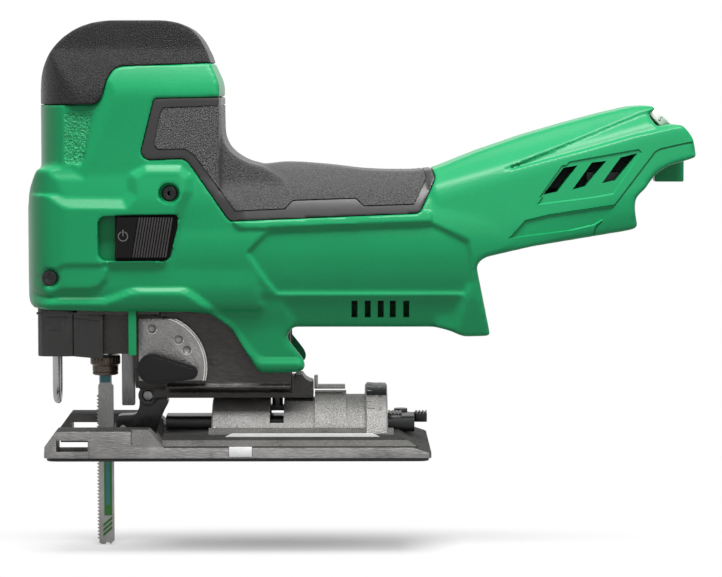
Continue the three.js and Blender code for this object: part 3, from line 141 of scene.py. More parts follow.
def gone(obj):
    mesh = obj.data
    bpy.data.objects.remove(obj)
    bpy.data.meshes.remove(mesh)


def applied(obj):
    """Takes the object's modifiers into its mesh."""
    bpy.context.view_layer.update()
    graph = bpy.context.evaluated_depsgraph_get()
    mesh = bpy.data.meshes.new_from_object(obj.evaluated_get(graph))
    old = obj.data
    obj.modifiers.clear()
    obj.data = mesh
    bpy.data.meshes.remove(old)
    return obj


def worked(obj, others, operation):
    """Works a solid with others, each a solid or a bmesh, one after the other."""
    for other in others:
        other = other if isinstance(other, bpy.types.Object) else solid(other)
        step = obj.modifiers.new("combine", "BOOLEAN")
        step.solver, step.operation, step.object = "MANIFOLD", operation, other
        applied(obj)
        gone(other)
    return obj


def less(obj, *others):
    return worked(obj, others, "DIFFERENCE")


def meet(obj, *others):
    return worked(obj, others, "INTERSECT")


def add(obj, *others):
    return worked(obj, others, "UNION")


def union(*parts):
    """Solids or bmeshes that overlap, made into one closed solid."""
    objects = [p if isinstance(p, bpy.types.Object) else solid(p) for p in parts]
    return add(*objects)


def span(side, near, far):
    """From near to far of the middle plane on one side of it, the lowest first."""
    return sorted((side * near, side * far))


def eased(obj, width, steps=2, angle=28):
    """Rounds the edges of a solid that has flat faces."""
    bm = bmesh.new()
    bm.from_mesh(obj.data)
    bmesh.ops.remove_doubles(bm, verts=bm.verts, dist=0.01)
    bmesh.ops.dissolve_limit(bm, angle_limit=0.01, verts=bm.verts, edges=bm.edges)
    bm.to_mesh(obj.data)
    bm.free()
    step = obj.modifiers.new("ease", "BEVEL")
    step.width, step.segments, step.limit_method = width, steps, "ANGLE"
    step.angle_limit = math.radians(angle)
    step.use_clamp_overlap = True
    return applied(obj)


def moulded(obj, grain, rounds, share=1.0):
    """Melts the solid into one skin with soft edges, as a moulding or a casting has."""
    step = obj.modifiers.new("skin", "REMESH")
    step.mode, step.voxel_size, step.use_smooth_shade = "VOXEL", grain, True
    if rounds:
        soft = obj.modifiers.new("soft", "SMOOTH")
        soft.factor, soft.iterations = 0.5, rounds
    if share < 1:
        thin = obj.modifiers.new("thin", "DECIMATE")
        thin.ratio = share
    return applied(obj)


def piece(obj, name, body, finish, stands_for=(), sharp=35):
    """Names a finished solid, brings it to metres, and gives it its finish and its body."""
    obj.name = obj.data.name = name
    obj.data.transform(Matrix.Scale(0.001, 4))
    obj.data.materials.clear()
    obj.data.materials.append(finish)
    if sharp:
        obj.data.shade_smooth()
        obj.data.set_sharp_from_angle(angle=math.radians(sharp))
    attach(obj, body)
    if stands_for:
        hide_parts(*stands_for)
    return obj


def node(tree, kind, inputs, **options):
    """A new or given shader node, each input set to a value or linked to another's output."""
    made = tree.nodes.new("ShaderNode" + kind) if isinstance(kind, str) else kind
    for name, value in options.items():
        setattr(made, name, value)
    for name, value in inputs.items():
        if isinstance(value, bpy.types.NodeSocket):
            tree.links.new(value, made.inputs[name])
        else:
            made.inputs[name].default_value = value
    return made


def surface(name, colour, shade, roughness, metallic=0.0, spread=0.08, grain=900.0, bump=0.1,
            patch=25.0, stretch=(1, 1, 1), depth=0.0002, specular=0.5):
    """A finish whose colour, gloss and relief vary finely, all in the piece's own coordinates."""
    made = bpy.data.materials.new(name)
    made.use_nodes = True
    tree = made.node_tree
    where = node(tree, "TexCoord", {}).outputs["Object"]
    along = node(tree, "Mapping", {"Vector": where, "Scale": stretch}).outputs["Vector"]
    broad = node(tree, "TexNoise", {"Vector": where, "Scale": patch, "Detail": 4.0})
    fine = node(tree, "TexNoise", {"Vector": along, "Scale": grain, "Detail": 3.0}).outputs["Fac"]
    half = node(tree, "Math", {0: broad.outputs["Fac"], 1: 0.5}, operation="MULTIPLY").outputs[0]
    mixed = node(tree, "Math", {0: fine, 1: 0.5, 2: half}, operation="MULTIPLY_ADD").outputs[0]
    tint = node(tree, "ValToRGB", {"Fac": mixed})
    for stop, place, value in zip(tint.color_ramp.elements, (0.3, 0.7), (shade, colour)):
        stop.position, stop.color = place, (*value, 1)
    gloss = node(tree, "MapRange", {"Value": mixed, "From Min": 0.3, "From Max": 0.7,
                                    "To Min": roughness - spread, "To Max": roughness + spread})
    relief = node(tree, "Bump", {"Strength": bump, "Distance": depth, "Height": fine})
    node(tree, tree.nodes["Principled BSDF"],
         {"Base Color": tint.outputs["Color"], "Metallic": metallic, "Specular IOR Level": specular,
          "Roughness": gloss.outputs["Result"], "Normal": relief.outputs["Normal"]})
    return made


cast_aluminium = surface("cast_aluminium", (0.14, 0.135, 0.13), (0.055, 0.053, 0.05), 0.5, 0.3,
                         grain=1500, bump=0.7, patch=90, depth=0.0008, specular=0.3)
ground_aluminium = surface("ground_aluminium", (0.34, 0.335, 0.33), (0.13, 0.127, 0.124), 0.38, 0.4,
                           grain=620, bump=0.5, patch=70, stretch=(0.5, 1.0, 2.6), depth=0.0005)
# Painted shade: a darker copy of the cast finish, given to the sole's faces that look up.
casting_painted_shade = surface("casting_painted_shade", (0.045, 0.044, 0.042), (0.015, 0.015, 0.014), 0.6, 0.1,
                         grain=1500, bump=0.5, patch=90, depth=0.0006, specular=0.1)
LOCK_BOLT = (70.5, 17)
sole_side = [(-83.4, 1.5), (82.5, 1.5), (82.5, 3.5), (74.5, 6.0), (-32, 6.0), (-38.9, 13.0),
             (-78.2, 13.0), (-83.0, 6.4)]
sole_rim = solid(slab(sole_side, "y", -39, 39))
plateau = meet(
    solid(slab([(-33.6, 5.8), (-33.6, 6.0), (-31.4, 8.3), (-27.5, 10.2), (27.5, 10.2), (31.4, 8.3),
                (33.6, 6.0), (33.6, 5.8)], "x", -33, 80)),
    slab([(-33, 1.5), (80, 1.5), (80, 4.0), (69, 10.2), (-33, 10.2)], "y", -39, 39))
kerb = [(29, 9.0), (27.5, 10.2), (25.0, 12.8), (24.5, 12.8), (24.5, 9.0)]
kerbs = [slab([(side * y, z) for y, z in kerb], "x", -13.4, 66.5) for side in (-1, 1)]
sole_plate = union(sole_rim, plateau, *kerbs)
meet(sole_plate, slab([(-83.4, -39), (82.5, -39), (82.5, 39), (-83.4, 39)], "z", 1.5, 13, 2.6))
arm_edge = [(39.5, 5.7), (39.5, 13.5), (31.7, 13.5)]
less(sole_plate,
     block((-90, -36), (-24, 24), (-2, 20)),
     block((-38, -34.2), (-17.5, 17.5), (-2, 20)),
     block((-90, 90), (-8.3, 8.3), (8.3, 20)),
     *[block((-77.9, -64.4), span(side, 20, 45), (4.4, 9.2)) for side in (-1, 1)],
     *[block((-18, 58), span(side, 11, 20), (-1, 7)) for side in (1, -1)],
     rod("z", 2.1, 2.7, 20, LOCK_BOLT),
     block((-64.3, -63.7), (-45, -38.6), (0, 20)),
     block((-4.3, 5.9), (-40, -38.5), (1.9, 7.4)),
     *[slab([(side * y, z) for y, z in arm_edge], "x", -46, -31) for side in (1, -1)])
eased(sole_plate, 0.45)
piece(sole_plate, "sole_casting", "base", cast_aluminium, ["sole_plate"])
for finish in (ground_aluminium, casting_painted_shade):
    sole_plate.data.materials.append(finish)
ground_side, ground_front, facing_up = 0.0386, -0.0782, 0.8
# Side and front faces take the ground finish; faces that look up take the darker copy, which is
# painted shade.
for face in sole_plate.data.polygons:
    if abs(face.center.y) > ground_side or face.center.x < ground_front:
        face.material_index = 1
    elif face.normal.z > facing_up:
        face.material_index = 2
# Painted highlight: the near rib and the small land on the rim are real, but their near-white
# colour stands in for the lamp's light thrown back from them.
sole_highlight_paint = surface("sole_painted_highlight", (0.90, 0.90, 0.90), (0.78, 0.78, 0.78), 0.35, 0.1,
                   grain=500, bump=0.1, patch=60)
land = solid(block((-4.1, 5.7), (-38.95, -38.2), (2.1, 6.4), 0.15))
rib = solid(slab([(-9.5, 8.1), (-3.2, 10.7), (57.0, 10.7), (64.5, 8.2), (57.2, 9.2), (-2.6, 9.2)],
                 "y", -29.0, -27.2))
piece(union(rib, land), "sole_ground_land", "base", sole_highlight_paint)


# The sole shoe is a thin moulded pad that clips under the casting, so that the work isn't marked.
def copied(name):
    """A merged copy of a CAD piece, in millimetres."""
    obj = placed("solid", nodes[name].data.copy())
    obj.data.transform(Matrix.Scale(1000, 4))
    bm = bmesh.new()
    bm.from_mesh(obj.data)
    bmesh.ops.remove_doubles(bm, verts=bm.verts, dist=0.002)
    bm.to_mesh(obj.data)
    bm.free()
    return obj


black_plastic = surface("black_plastic", (0.014, 0.014, 0.015), (0.007, 0.007, 0.008), 0.38,
                        grain=1500, bump=0.12, patch=40, specular=0.4)
shoe = eased(copied("sole_shoe"), 0.25)
piece(shoe, "sole_slide_shoe", "base", black_plastic, ["sole_shoe"])


# The saddle is a turned half ring of cast aluminium. The tool's rail tilts round it, and its
# rear ring carries the bevel scale.
def turned(profile, centre, axis="x", low=0.0, high=2 * math.pi, steps=72):
    """Spins a closed profile of (along, radius) about an axis through the centre."""
    bm = bmesh.new()
    face = bm.faces.new([bm.verts.new(Vector((along, 0, radius))) for along, radius in profile])
    bmesh.ops.rotate(bm, verts=bm.verts, cent=(0, 0, 0), matrix=Matrix.Rotation(low, 3, "X"))
    whole = high - low > 6.28
    if whole:
        edges = list(face.edges)
        bm.faces.remove(face)
        bmesh.ops.spin(bm, geom=edges, cent=(0, 0, 0), axis=(1, 0, 0), angle=2 * math.pi,
                       steps=steps, use_merge=True)
    else:
        bmesh.ops.spin(bm, geom=[face], cent=(0, 0, 0), axis=(1, 0, 0), angle=high - low,
                       steps=steps, use_duplicate=False)
    bmesh.ops.remove_doubles(bm, verts=bm.verts, dist=0.001)
    bmesh.ops.recalc_face_normals(bm, faces=bm.faces)
    turn = {"x": Matrix.Identity(4), "y": Matrix.Rotation(math.pi / 2, 4, "Z"),
            "z": Matrix.Rotation(-math.pi / 2, 4, "Y")}[axis]
    bmesh.ops.transform(bm, matrix=Matrix.Translation(centre) @ turn, verts=bm.verts)
    return bm


saddle_profile = [(-12.5, 20.6), (64.0, 20.6), (64.0, 28.7), (63.4, 29.3), (55.0, 29.3),
                  (54.4, 28.7), (54.4, 26.3), (32.3, 26.3), (32.3, 23.4), (-11.9, 23.4),
                  (-12.5, 22.8)]
saddle = solid(turned(saddle_profile, (0, 0, 0), steps=144))
slot = solid(turned([(12.8, 18), (18.8, 18), (18.8, 27), (12.8, 27)], (0, 0, 0), low=-0.92,
                    high=0.92, steps=40))
window = solid(turned([(46.1, 24.6), (54.35, 24.6), (54.35, 28), (46.1, 28)], (0, 0, 0),
                      low=-1.0, high=1.0, steps=40))
bore = [rod("y", 2.9, *ends, (15.8, 21.8)) for ends in ((-30, -12), (12, 30))]
less(saddle, block((-20, 70), (-35, 35), (-35, 10.5)), slot, window, solid(*bore),
     block((31.0, 45.2), (-3.6, 3.6), (26.0, 30)))
eased(saddle, 0.3, angle=40)
saddle_cast = surface("saddle_cast", (0.33, 0.32, 0.31), (0.17, 0.165, 0.16), 0.45, 0.4,
                      grain=1500, bump=0.7, patch=55, depth=0.0009)
piece(saddle, "saddle_casting", "base", saddle_cast, ["bevel_saddle"])
ring_band = solid(turned([(54.9, 29.25), (54.9, 29.6), (63.5, 29.6), (63.5, 29.25)],
                         (0, 0, 0), low=-0.5, high=0.5, steps=60))
scale_steel = surface("scale_steel", (0.05, 0.05, 0.05), (0.025, 0.025, 0.025), 0.3, 0.6,
                      grain=500, bump=0.2, patch=60, stretch=(1, 4, 4))
piece(ring_band, "bevel_scale_band", "base", scale_steel)


# The dust duct is a moulded oval tube under the saddle. It starts behind the blade, and a
# ribbed collar at its rear end takes a hose adapter.
def oval(half_width, low, high, along):
    corners = [(-half_width, low), (half_width, low), (half_width, high), (-half_width, high)]
    return slab(corners, "x", *along, (high - low) / 2 * 0.95, 10)


duct = union(oval(8, 8.6, 15.7, (-33, 76)), oval(7.7, 8.6, 17.0, (64.7, 70.4)))
for at in (65.6, 67.2, 68.8):
    less(duct, block((at, at + 0.6), (-9, 9), (16.4, 18)))
less(duct, oval(6.6, 10.0, 14.3, (-40, 80)))
eased(duct, 0.25)
piece(duct, "dust_tube", "base", black_plastic, ["dust_duct"])


# The lock lever is a small moulded handle on a bolt at the sole's rear. Slanting ribs on its
# grip end give the finger hold.
grip_end = [(76.4, 13), (82.2, 13), (82.2, 21), (76.4, 21)]
lever = union(rod("z", 5.0, 10.6, 14.3, LOCK_BOLT),
              block((70.5, 79.4), (14.4, 19.6), (10.6, 14.3)),
              slab(grip_end, "z", 10.6, 14.3, 1.2))
for k in range(4):
    at = 76.5 + k * 1.45
    rib = solid(slab([(at, 13.2), (at + 0.7, 13.2), (at + 1.5, 20.8), (at + 0.8, 20.8)],
                     "z", 13.6, 15.0))
    meet(rib, slab(grip_end, "z", 10, 16, 1.2))
    add(lever, rib)
less(lever, rod("z", 2.2, 5, 20, LOCK_BOLT))
eased(lever, 0.2)
piece(lever, "lock_lever_handle", "lock_lever", black_plastic, ["lock_lever"])
bolt = union(rod("z", 1.8, 3.0, 15.5, LOCK_BOLT, 32), rod("z", 3.4, 14.7, 16.3, LOCK_BOLT, 6))
eased(bolt, 0.2)
dark_steel = surface("dark_steel", (0.07, 0.07, 0.072), (0.035, 0.035, 0.037), 0.34, 0.75,
                     grain=900, bump=0.15, patch=90)
bright_steel = surface("bright_steel", (0.45, 0.45, 0.45), (0.28, 0.28, 0.28), 0.3, 0.95,
                       grain=600, bump=0.12, patch=80, stretch=(1, 1, 6))
piece(bolt, "lock_lever_bolt", "base", dark_steel, ["lock_bolt"])


# The housing is a clamshell of two green nylon mouldings, screwed together from the left. One
# soft form is made of head, barrel, skirt, rear leg and tail, and its panels are raised on it.
WIDE = 60


def inside(points, corner=2.0, side=0):
    """A zone of the side view, through the whole body or on one side of it."""
    low, high = (-WIDE, WIDE) if side == 0 else (-WIDE, 0) if side < 0 else (0, WIDE)
    return solid(slab(points, "y", low, high, corner))


def both(half):
    """An end view of the body, from the half that is given."""
    return half + [(-y, z) for y, z in reversed(half)]


def paired(half):
    """A plan of the body, from the half that is given."""
    return half + [(x, -y) for x, y in reversed(half)]


upper_head = [
    (-87.1, 100), (-87.1, 152), (-86.8, 160), (-85.4, 166.6), (-83.0, 171.8), (-79.6, 177.0),
    (-75.0, 181.6), (-69.4, 185.2), (-62.5, 187.6), (-55, 188.4), (-33, 188.4), (-26.5, 187.6),
    (-21, 185.2), (-16.4, 180.6), (-12.6, 173.0), (-12, 170.1), (-7.8, 161), (-7.6, 150),
    (-7.4, 139), (-5.5, 134), (-1.3, 130), (4.3, 127), (10, 126), (20, 120), (20, 70), (-60, 70)]
lower_head = [(-89.7, 64.5), (-92.7, 67.6), (-93.0, 79), (-93.1, 107.2), (-91.5, 111.3),
              (-91.4, 115.3), (-87.0, 125), (-20, 125), (0, 110), (10, 63.3), (-49, 63.3)]
head_plan = paired([(-93.0, -4), (-91.4, -14), (-88.6, -21.5), (-83.5, -27.8), (-74, -31.4),
                    (20, -31.6)])
upper_plan = paired([(-87.1, -4), (-85.7, -13), (-83.0, -20), (-78.0, -26.0), (-70, -30.2),
                     (-58, -31.6), (20, -31.6)])
upper_section = both([(28.4, 60), (29.3, 100), (30.0, 158), (27.6, 165), (23.5, 174), (16, 182),
                      (6, 187.6)])
lower_section = both([(27.0, 63.3), (29.0, 66), (30.8, 73), (31.2, 111.5), (29.2, 125)])
upper = meet(solid(slab(upper_head, "y", -40, 40, 4)), slab(upper_plan, "z", 0, 200, 5),
             slab(upper_section, "x", -100, 40, 5),
             slab([(-95, -60), (-8, -60), (-8, 60), (-95, 60)], "z", 0, 200))
neck = meet(solid(slab(upper_head, "y", -22, 22, 4)), slab(upper_plan, "z", 0, 200, 5))
lower = meet(solid(slab(lower_head, "y", -40, 40, 2)), slab(head_plan, "z", 0, 200, 5),
             slab(lower_section, "x", -100, 40, 3))
barrel_side = [(-22, 132), (-5.5, 134), (-1.3, 130), (4.3, 127), (10, 126), (19, 127.2),
               (27.3, 127), (40.7, 125.8), (52.4, 124.2), (63.2, 123.6), (74.9, 123.6),
               (85, 124.6), (102.2, 131.6), (114, 135), (118, 92), (106.3, 87.2), (102.2, 84.5),
               (101, 70), (96, 57), (90.4, 54.6), (84.7, 56.2), (23.7, 56.2), (10, 60),
               (-30, 64)]
barrel_section = both([(21.5, 54), (26.2, 67.6), (28.4, 70.4), (30.5, 79), (31.6, 88),
                       (31.5, 96), (30.3, 103), (28.2, 109), (24.8, 115), (20, 120),
                       (13.5, 124.8), (6, 127.6), (6, 140)])
barrel = meet(solid(slab(barrel_side, "y", -40, 40, 2)), slab(barrel_section, "x", -40, 130, 3))
skirt_side = [(-56, 63.3), (-49, 69.5), (-22, 69.5), (-3.8, 56), (8.3, 36.3), (25.6, 36.5),
              (28.6, 38.3), (27.8, 42), (20.6, 51), (20.9, 53.5), (23.6, 57), (12, 80), (0, 90),
              (-50, 90)]
skirt = meet(solid(slab(skirt_side, "y", -40, 40, 2)),
             slab(both([(20.8, 33), (23.0, 42), (24.2, 56), (26.8, 66), (29, 80), (29, 90)]), "x",
                  -80, 80, 3))
leg_side = [(98, 92), (102.2, 84.5), (102.2, 82.1), (108.3, 52.6), (96.8, 52.2), (90.4, 54.8),
            (84.7, 56.4), (84, 72)]
leg = meet(solid(slab(leg_side, "y", -40, 40, 1)),
           slab(paired([(80, -24), (92, -24.6), (100, -31), (109, -26)]), "z", 0, 200, 0.6),
           slab(both([(25, 50), (29.5, 70), (31, 95)]), "x", 70, 120))
tail_side = [(80, 123.9), (84.9, 124.6), (102.2, 131.6), (122.6, 138.7), (141.5, 144.2),
             (157.2, 148.4), (170.0, 151.3), (178.8, 151.8), (180.2, 150.2), (176.2, 148.1),
             (179.8, 142.4), (185.8, 143.7), (190.4, 143.6), (194.6, 138.4), (196.2, 129.8),
             (189.8, 127.8), (184.2, 126.2), (178.8, 122.8), (174.2, 116.4), (170.2, 112.6),
             (169.6, 108.1), (171.2, 99.6), (167.5, 98.4), (125.3, 91.4), (106.1, 87), (96, 87),
             (84, 104)]
tail_section = both([(11, 4), (16.5, -1.5), (19.5, -4.5), (25.6, -9.5), (27.8, -14.5),
                     (31.2, -36), (31.2, -43), (28.6, -60)])
tail_hung = solid(slab(tail_section, "x", 0, 140, 2))
tail_hung.data.transform(Matrix.Translation((80, 0, 126)) @ Matrix.Rotation(-0.278, 4, "Y"))
tail = meet(solid(slab(tail_side, "y", -40, 40, 1)), tail_hung)
body = moulded(union(upper, neck, lower, barrel, skirt, leg, tail), 1.1, 6)


def swollen(distance):
    """The soft form again, with its skin moved in or out."""
    copy = placed("swollen", body.data.copy())
    step = copy.modifiers.new("skin", "DISPLACE")
    step.strength, step.mid_level = distance, 0.0
    return applied(copy)


def widened(distance):
    """The soft form again, with only its sides moved in or out."""
    copy = placed("widened", body.data.copy())
    copy.data.transform(Matrix.Scale(1 + distance / 31.5, 4, (0, 1, 0)))
    return copy


def shrunk(points, by):
    """An outline moved inwards by one distance all the way round."""
    turn = sum(points[i - 1][0] * p[1] - p[0] * points[i - 1][1] for i, p in enumerate(points))
    made = []
    for i, corner in enumerate(points):
        here = Vector(corner)
        back = (here - Vector(points[i - 1])).normalized()
        ahead = (Vector(points[(i + 1) % len(points)]) - here).normalized()
        sides = [Vector((-v.y, v.x)) * math.copysign(1, turn) for v in (back, ahead)]
        step = (sides[0] + sides[1]) / max(0.4, 1 + sides[0].dot(sides[1]))
        made.append(tuple(here + step * by))
    return made


def within(x, z, outline):
    """Whether a place in the side view lies inside an outline."""
    hit = False
    for i, (ax, az) in enumerate(outline):
        bx, bz = outline[i - 1]
        if (az > z) != (bz > z) and x < (bx - ax) * (z - az) / (bz - az) + ax:
            hit = not hit
    return hit


cap_zone = [(-110, 152.5), (-61.4, 152.2), (-58.4, 154.9), (-56.3, 163), (-53.3, 167.7),
            (-49.9, 168.7), (-10.7, 170.1), (10, 170.1), (10, 210), (-110, 210)]
grip_zone = [(-3.0, 155.4), (-35.6, 154.7), (-36.2, 153.4), (-41.8, 131.5), (-39.6, 128.8),
             (-23.4, 129.2), (-21.2, 127.5), (-3.7, 102.5), (77.5, 105.8), (84.5, 120.6),
             (82.7, 125.4), (82.7, 150), (20, 155.4)]
ledge = [(-110, 112.7), (-49.2, 112.1), (-46.5, 115.1), (-45.2, 121.9), (-39.6, 124.7),
         (-25.3, 124.7), (-21.2, 121.3), (-19.9, 115.1), (-21.9, 109.1), (-26.7, 92.0),
         (-32, 82.5), (-56, 82), (-58, 80.5), (-110, 80.5)]
screw_pad = [(-110, 84), (-90, 74.5), (-82, 72.2), (-63.6, 72.2), (-59.4, 73.5), (-56, 77),
             (-54, 84)]
flange = [(-110, 60), (-110, 69.6), (-57, 69.2), (-45.8, 73.6), (-22.6, 73.6), (-18.5, 70.8),
          (-3.9, 59.4), (8.1, 42.6), (30, 42.6), (30, 25), (-30, 25)]
under_grip = [(-0.3, 99.8), (13.8, 99.7), (14.7, 98), (82.7, 100.9), (82, 106.5), (-6, 106.5)]
side_panel = [(13.8, 97.8), (5.5, 88.8), (14.9, 69.2), (98.5, 69.2), (100, 76), (97, 93),
              (82.7, 100.9)]
tail_low = [(116.5, 95.6), (124.2, 102.9), (160.2, 109.2), (154.8, 103.1), (152.0, 101.2)]
tail_end = [(161, 110.1), (178.2, 132.5), (180.7, 133.7), (193.3, 136.5), (215, 136.5),
            (215, 90), (150, 90), (152.5, 100.4), (155.5, 102.7)]
tail_vents = [[(139.1, 125.2), (145.2, 126.3), (136.4, 114.9), (130.3, 113.7)],
              [(151.3, 127.5), (157.5, 128.2), (148.3, 117.2), (142.9, 116)],
              [(163.6, 129.7), (170.8, 131.5), (161.3, 119.8), (155.5, 118.7)]]
vent_panel = [(127.6, 109.4), (160.0, 114.5), (174.0, 131.6), (172.0, 134.8), (140.5, 129.6)]
tail_slope = [(106.1, 121.5), (173.1, 148.6), (188, 152), (188, 143), (179.6, 141.1),
              (169.9, 139.0), (146.8, 132.4)]
way = [(-57.7, 104.9), (-25.6, 105.6), (-26.4, 99), (-29.8, 85.6), (-58, 85.4), (-60.0, 87.8),
       (-60.0, 102.6)]


def drafted(points, low, high, slope, base):
    """A zone of the side view on both sides of the body, whose walls lean as they go out."""
    made = []
    for side in (-1, 1):
        bm = bmesh.new()
        rings = [[bm.verts.new((x, y * side, z))
                  for x, z in shrunk(points, (max(y, low) - base) * slope)]
                 for y in (0, low, high)]
        bm.faces.new(rings[0])
        bm.faces.new(rings[-1])
        for inner, outer in zip(rings, rings[1:]):
            for i in range(len(points)):
                bm.faces.new((inner[i - 1], inner[i], outer[i], outer[i - 1]))
        bmesh.ops.recalc_face_normals(bm, faces=bm.faces)
        bmesh.ops.triangulate(bm, faces=bm.faces)
        made.append(bm)
    return [solid(bm) for bm in made]


def set_back(side):
    """The narrower front of the upper head, with the slopes that lead into it."""
    floor, out = 27.6 * side, 60 * side
    zone = solid(slab([(33.0 * side, 113.6), (floor, 124.9), (floor, 180), (out, 180), (out, 113)],
                      "x", -120, 0, 3))
    ramp = slab([(-140, floor), (-67, floor), (-54, 31.6 * side), (-54, out), (-140, out)],
                "z", 90, 190, 8)
    lean = Matrix(((1, 0, 0.345, -0.345 * 136), (0, 1, 0, 0), (0, 0, 1, 0), (0, 0, 0, 1)))
    bmesh.ops.transform(ramp, matrix=lean, verts=ramp.verts)
    return meet(zone, ramp)


shell = union(widened(0), meet(widened(1.1), inside(under_grip, 1)),
              *[meet(widened(0.8 * k), inside(shrunk(flange, k - 1), 3)) for k in (1, 2, 3)])
for outline, high, low, slope, base in ((ledge, 2.6, 30.6, 1.75, 31.2),
                                        (screw_pad, 1.7, 30, 1.3, 31)):
    for zone in drafted(outline, low, 34.6, slope, base):
        add(shell, meet(zone, widened(high)))
less(shell, set_back(-1), set_back(1))
panels = drafted(side_panel, 26, 34, -1.2, 29.8)
less(shell, *[less(zone, widened(-1.5)) for zone in panels])
less(shell, less(inside(tail_slope, 0.5), widened(-2.2)))
for outline in (cap_zone, grip_zone):
    less(shell, less(inside(shrunk(outline, -0.2), 2), swollen(-2.9)))
less(shell, meet(inside(way, 2.5), block((-70, -20), (-60, -28.7), (80, 110))))
SCREWS = ((-29.6, 114.4), (-81.2, 78.1))
patch = [(-74.2, 148.6), (-62.2, 148.6), (-65.8, 129.6), (-67.2, 126.6), (-74.7, 127.0)]
less(shell, less(inside(patch, 0.8), solid(block((-80, -55), (-27.2, 27.2), (120, 155)))))
less(shell, solid(*[rod("y", 4.4, -60, -28.6, place) for place in SCREWS]))
meet(shell, block((-93.1, 199.1), (-34, 34), (34.2, 188.3)))
moulded(shell, 0.7, 3, 0.28)
tabs = solid(*[block((-47.6, -44.2), y, (44.6, 72), 0.4) for y in ((-28.9, -25.9), (25.9, 28.9))])
add(shell, tabs)
for outline, depth, slope in ((tail_low, 1.1, -0.6), (vent_panel, 0.7, -0.8)):
    less(shell, *[less(zone, widened(-depth)) for zone in drafted(outline, 24, 34, slope, 30)])
band = less(inside(tail_end), inside(shrunk(tail_end, 0.8)))
less(shell, less(band, widened(-0.9)))
green_nylon = surface("green_nylon", (0.011, 0.315, 0.115), (0.007, 0.265, 0.095), 0.33,
                      spread=0.04, grain=1500, bump=0.15, patch=30, specular=0.22)
leather_green = surface("leather_green", (0.025, 0.45, 0.18), (0.003, 0.18, 0.058), 0.4,
                        spread=0.06, grain=1000, bump=1.0, patch=600, depth=0.001,
                        specular=0.28)
# Painted shade: a near-black green for the walls inside the barrel slots and the tail vents, where
# shade falls in the openings.
painted_vent_shade = surface("painted_vent_shade", (0.006, 0.012, 0.008), (0.003, 0.006, 0.004), 0.7,
                      grain=900, bump=0.1)


DIAL_SEAT = Matrix.Translation((182.8, 0, 145.75)) @ Matrix.Rotation(math.pi / 4, 4, "Y")


def hollows():
    """The room inside the two halves for the gear case, motor, switch, controls and battery."""
    rooms = [((-70.3, -34.2), (-25.6, 25.6), (61.7, 146.3)),
             ((-81.5, -70), (-17, 17), (84.4, 143)),
             ((-70.3, -19.5), (-15, 15), (146, 177)), ((-46.3, 22.3), (-19.3, 19.3), (0, 64.3)),
             ((20, 35), (-19.9, 19.9), (20, 50.5)),
             ((-70.4, -46), (-19.3, 19.3), (0, 62)), ((-88.3, -70), (-19.3, 19.3), (0, 64.3)),
             ((67.2, 104), (-22.7, 22.7), (66, 111)), ((34, 104), (-18.7, -3), (60.4, 66)),
             ((34, 104), (3, 18.7), (60.4, 66)),
             ((102, 150), (-20.3, 20.3), (99.7, 116)),
             ((149.7, 166.3), (-19.3, 19.3), (104.2, 123.3)),
             ((-24.7, -12.7), (-10.3, 10.3), (118.7, 135.3)),
             ((166, 169), (-24, 24), (103.5, 125.5)),
             ((169, 178), (-24, 24), (103.5, 111)), ((169, 178), (-24, 24), (114.5, 125.5)),
             ((169, 178), (-21, 21), (110, 115)), ((178, 215), (-24, 24), (103.5, 125.5))]
    for x, y, z in rooms:
        yield block(x, y, z)
    for radius, low, high in ((23.3, -8.3, 58), (10, -34.5, -8), (8.3, -8, 65.5)):
        yield rod("x", radius, low, high, (0, 88), 72)
    for radius, low, high in ((7.4, -2.4, 2.4), (2.0, -6, 0), (4.8, -12.6, -6.0)):
        way_in = rod("z", radius, low, high, (0, 0), 64)
        bmesh.ops.transform(way_in, matrix=DIAL_SEAT, verts=way_in.verts)
        yield way_in


less(shell, union(*hollows(), *[rod("y", 2.3, -60, 12.3, place) for place in SCREWS],
                  block((-60.0, -25.6), (-30.5, -26.4), (85.6, 105.4)),
                  block((-66.4, -22.2), (-29.1, -26.4), (82.4, 108.2))))
slots = [[(x, 60.6), (x + 2.6, 60.6), (x + 2.6, 68.1), (x, 68.1)]
         for x in (48.3, 54.0, 59.6, 64.8, 70.6)]
openings, lips = [], []
for side in (-1, 1):
    for outline in slots + tail_vents:
        deep = 17.5 if outline in slots else 15
        openings.append(slab(outline, "y", *span(side, deep, 60)))
    for outline in tail_vents:
        lips.append(slab(shrunk(outline, -1.2), "y", *span(side, 10, 60), 0.5))
less(shell, less(solid(*lips), widened(-0.7)), solid(*openings))


def halved(obj, side, gap):
    """The left or the right half of a solid."""
    half = placed("solid", obj.data.copy())
    return meet(half, block((-300, 300), span(side, gap, 80), (-100, 300)))


def dressed(obj, rules):
    """Gives faces a further finish, or a painted shade or highlight, where their place in the side
    view asks for it.
    """
    for face in obj.data.polygons:
        x, y, z = face.center * 1000
        for slot, outline, low, high in rules:
            if low < abs(y) < high and within(x, z, outline):
                face.material_index = slot
    return obj


for name, side in (("left", -1), ("right", 1)):
    half = halved(shell, side, 0.12)
    if side > 0:
        add(half, block((184, 197), (21, 29), (117.5, 129), 0.6))
    piece(half, "housing_shell_" + name, "tool", green_nylon,
          ["housing_" + name])
    for finish in (leather_green, painted_vent_shade):
        half.data.materials.append(finish)
    # Slot 1 is the leather patch; slot 2 paints shade on the walls inside the slots and vents.
    rules = [(1, patch, 22, 40)] + [(2, shrunk(v, -0.1), 10, 21) for v in slots]
    dressed(half, rules + [(2, shrunk(v, -0.1), 10, 25) for v in tail_vents])
    even = half.modifiers.new("even", "WEIGHTED_NORMAL")
    even.keep_sharp = True
gone(shell)


